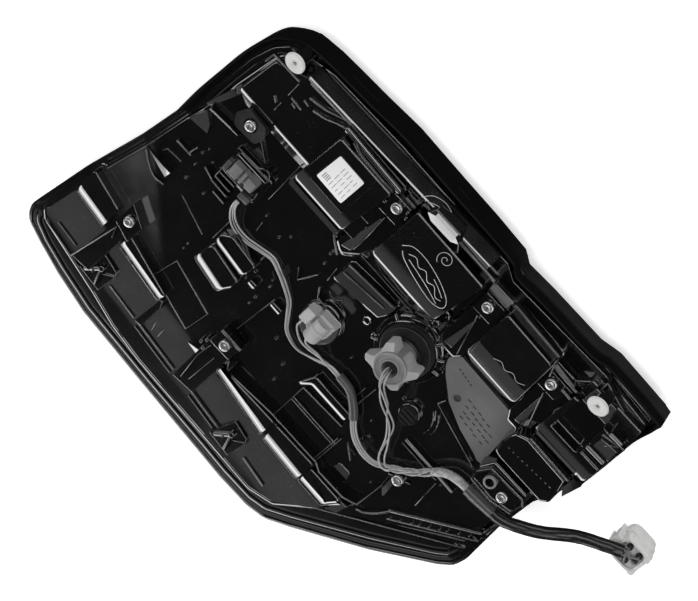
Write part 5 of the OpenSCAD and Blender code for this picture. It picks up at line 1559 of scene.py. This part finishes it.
# ---------------------------------------------------------------- LED socket and plug
sock = merge([prism(rect(-126, -108, 46, 59, 0.5), 38, 47, 0.3, 0, 0, 3, 2, sink=0),
              prism(rect(-131, -101, 43, 63, 1.2), 46, 49, 0.8, 0, 0, 3, 2, sink=0)], "led_socket_body")
finish_mesh(sock, M_BLACK, 35)
piece(sock, ["led_socket"], "black_plastic")
guard = merge([prism(rect(-132.4, -128.4, 48, 57.6, 0.6), 45, 55.6, 0.5, 0, 0, 3, 2, sink=0),
               prism([(-109.4, 39.5, 0.8), (-99.4, 39.5, 0.8), (-99.4, 44.6, 0.8), (-109.4, 44.6, 0.8)], 45, 53.6, 0.8, 0, 0, 3, 2, sink=0),
               prism(rect(-108.4, -104.8, 39.9, 44, 0.4), 53, 54.4, 0.3, 0, 0, 2, 2, sink=0)], "led_socket_guard")
finish_mesh(guard, M_DGREY, 35)
piece(guard, ["led_socket"], "black_plastic")
plug = merge([
    prism(rect(-127.4, -103, 51, 60.6, 1.0), 48, 54, 0.6, 0, 0, 3, 3, sink=0),
    prism(rect(-126.6, -118, 51.5, 62.4, 0.8), 52, 60, 0.8, 0, 0, 3, 3, sink=0),
    prism(rect(-116.2, -113.4, 52.0, 62.6, 0.5), 52, 59.4, 0.5, 0, 0, 3, 3, sink=0),
    prism([(-112, 54.5, 0.8), (-109.5, 51.5, 0.8), (-103.2, 52.2, 0.8), (-103.4, 60.2, 0.8), (-112, 60.6, 0.8)], 52, 58, 0.8, 0, 0, 3, 3, sink=0),
    prism(rect(-121.4, -119.4, 52.4, 61.6, 0.3), 59.4, 60.8, 0.3, 0, 0, 2, 2, sink=0),
], "led_plug_body")
finish_mesh(plug, M_GREY2, 35)
piece(plug, ["led_plug"], "grey_plastic")

# ---------------------------------------------------------------- bracket
BR = [(164, 27, 2), (186, 26, 2), (204, 31, 2), (206, 44, 2), (201, 49, 2), (168, 48, 2), (162, 36, 2)]
brk = merge([levels(BR, [(0, 60), (0, 64.2), (0.4, 64.8), (0.9, 65.0)])], "bracket_body")
brk = boolean(brk, temp_obj(*pocket([(x, y, 1.5) for x, y in outline([(a, b_, 0.1) for a, b_, c in BR], 1.7, 1)], 62.5, 65, 0.3, 0.8)), "DIFFERENCE")
brk = boolean(brk, temp_obj(*boss(175, 39, 5.2, 62, 67, 0.8, 1.2, n=40)), "UNION")
brk = boolean(brk, temp_obj(*lathe(175, 39, [(3.2, 50), (3.2, 80)], 40)), "DIFFERENCE")
finish_mesh(brk, M_BLACK, 35)
weighted(brk)
piece(brk, ["bracket"], "black_plastic")
eye = merge([lathe(175, 39, [(5.35, 64.8), (5.35, 66.9), (5.0, 67.2), (4.1, 67.3)], 40)], "bracket_eye")
eye = boolean(eye, temp_obj(*lathe(175, 39, [(3.4, 60), (3.6, 70)], 36)), "DIFFERENCE")
finish_mesh(eye, M_GREY2, 35)
piece(eye, ["bracket"], "black_plastic")

# ---------------------------------------------------------------- CAD nodes that stay: materials
KEEP = {"outer_lens": M_LENS_LIP, "lens_seal": M_RUBBER, "inner_bezel": M_BEZEL, "main_reflector": M_REFL, "turn_reflector": M_REFL,
        "led_board": M_BOARD, "led_carrier": M_BEZEL, "large_gasket": M_RUBBER, "small_gasket": M_RUBBER, "large_bulb": M_BULB, "small_bulb": M_BULB,
        "cable_relief": M_SLEEVE, "plug_terminals": M_BRASS, "vent_cap": M_DARK, "wire_clips": M_DARK}
for name, mat in KEEP.items():
    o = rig.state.nodes[name]
    o.data.materials.clear()
    o.data.materials.append(mat)

# ---------------------------------------------------------------- floor and light
fl_v = [(-6000, -6000, 0), (6000, -6000, 0), (6000, 6000, 0), (-6000, 6000, 0)]
floor = temp_obj(fl_v, [[0, 1, 2, 3]], "floor")
floor.data.materials.append(M_FLOOR)
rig.stage(floor)
floor.visible_glossy = False


def area(name, direction, dist, sx, sy, radiance, aim=(0, 0, 0.03), up=(0, 1, 0)):
    """A rectangular light of the given radiance; sx runs along X where it can."""
    d = Vector(direction).normalized()
    L = bpy.data.lights.new(name, "AREA")
    L.shape = "RECTANGLE"
    L.size, L.size_y = sx, sy
    L.energy = radiance * math.pi * sx * sy
    o = bpy.data.objects.new(name, L)
    scene.collection.objects.link(o)
    pos = Vector(aim) + d * dist
    z = d
    x = Vector(up).cross(z)
    x.normalize()
    y = z.cross(x)
    o.matrix_world = Matrix.Translation(pos) @ Matrix((x, y, z)).transposed().to_4x4()
    return o


def from_zenith(deg_y, deg_x=0.0):
    """Direction at deg_y from the zenith towards +Y, and deg_x towards +X."""
    a, b_ = math.radians(deg_y), math.radians(deg_x)
    return (math.sin(b_) * math.cos(a), math.sin(a) * math.cos(b_), math.cos(a) * math.cos(b_))


area("low_strip", from_zenith(-69), 2.4, 3.2, 0.62, 4.6)
area("low_strip_near", from_zenith(-59), 2.42, 3.2, 0.26, 2.2)
area("low_strip_far", from_zenith(-80), 2.42, 3.2, 0.36, 1.8)
area("dim_strip", from_zenith(-48), 2.4, 2.8, 0.62, 0.20)
area("far_strip", from_zenith(68), 2.4, 2.6, 0.8, 3.0)
area("overhead", from_zenith(12), 2.6, 2.2, 0.7, 3.8)
area("side_l", from_zenith(0, -48), 2.6, 0.9, 2.2, 3.0)
area("side_r", from_zenith(6, 48), 2.6, 0.9, 2.2, 2.7)
world = bpy.data.worlds.new("world")
scene.world = world
world.use_nodes = True
world.node_tree.nodes["Background"].inputs[0].default_value = (0.02, 0.02, 0.02, 1)
world.node_tree.nodes["Background"].inputs[1].default_value = 1.0
scene.view_settings.view_transform = "Standard"
scene.view_settings.look = "None"

BOX1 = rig.bounds()
with open("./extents.json", "w") as fh:
    json.dump({"cad": [list(BOX0[0]), list(BOX0[1])], "visual": [list(BOX1[0]), list(BOX1[1])]}, fh)
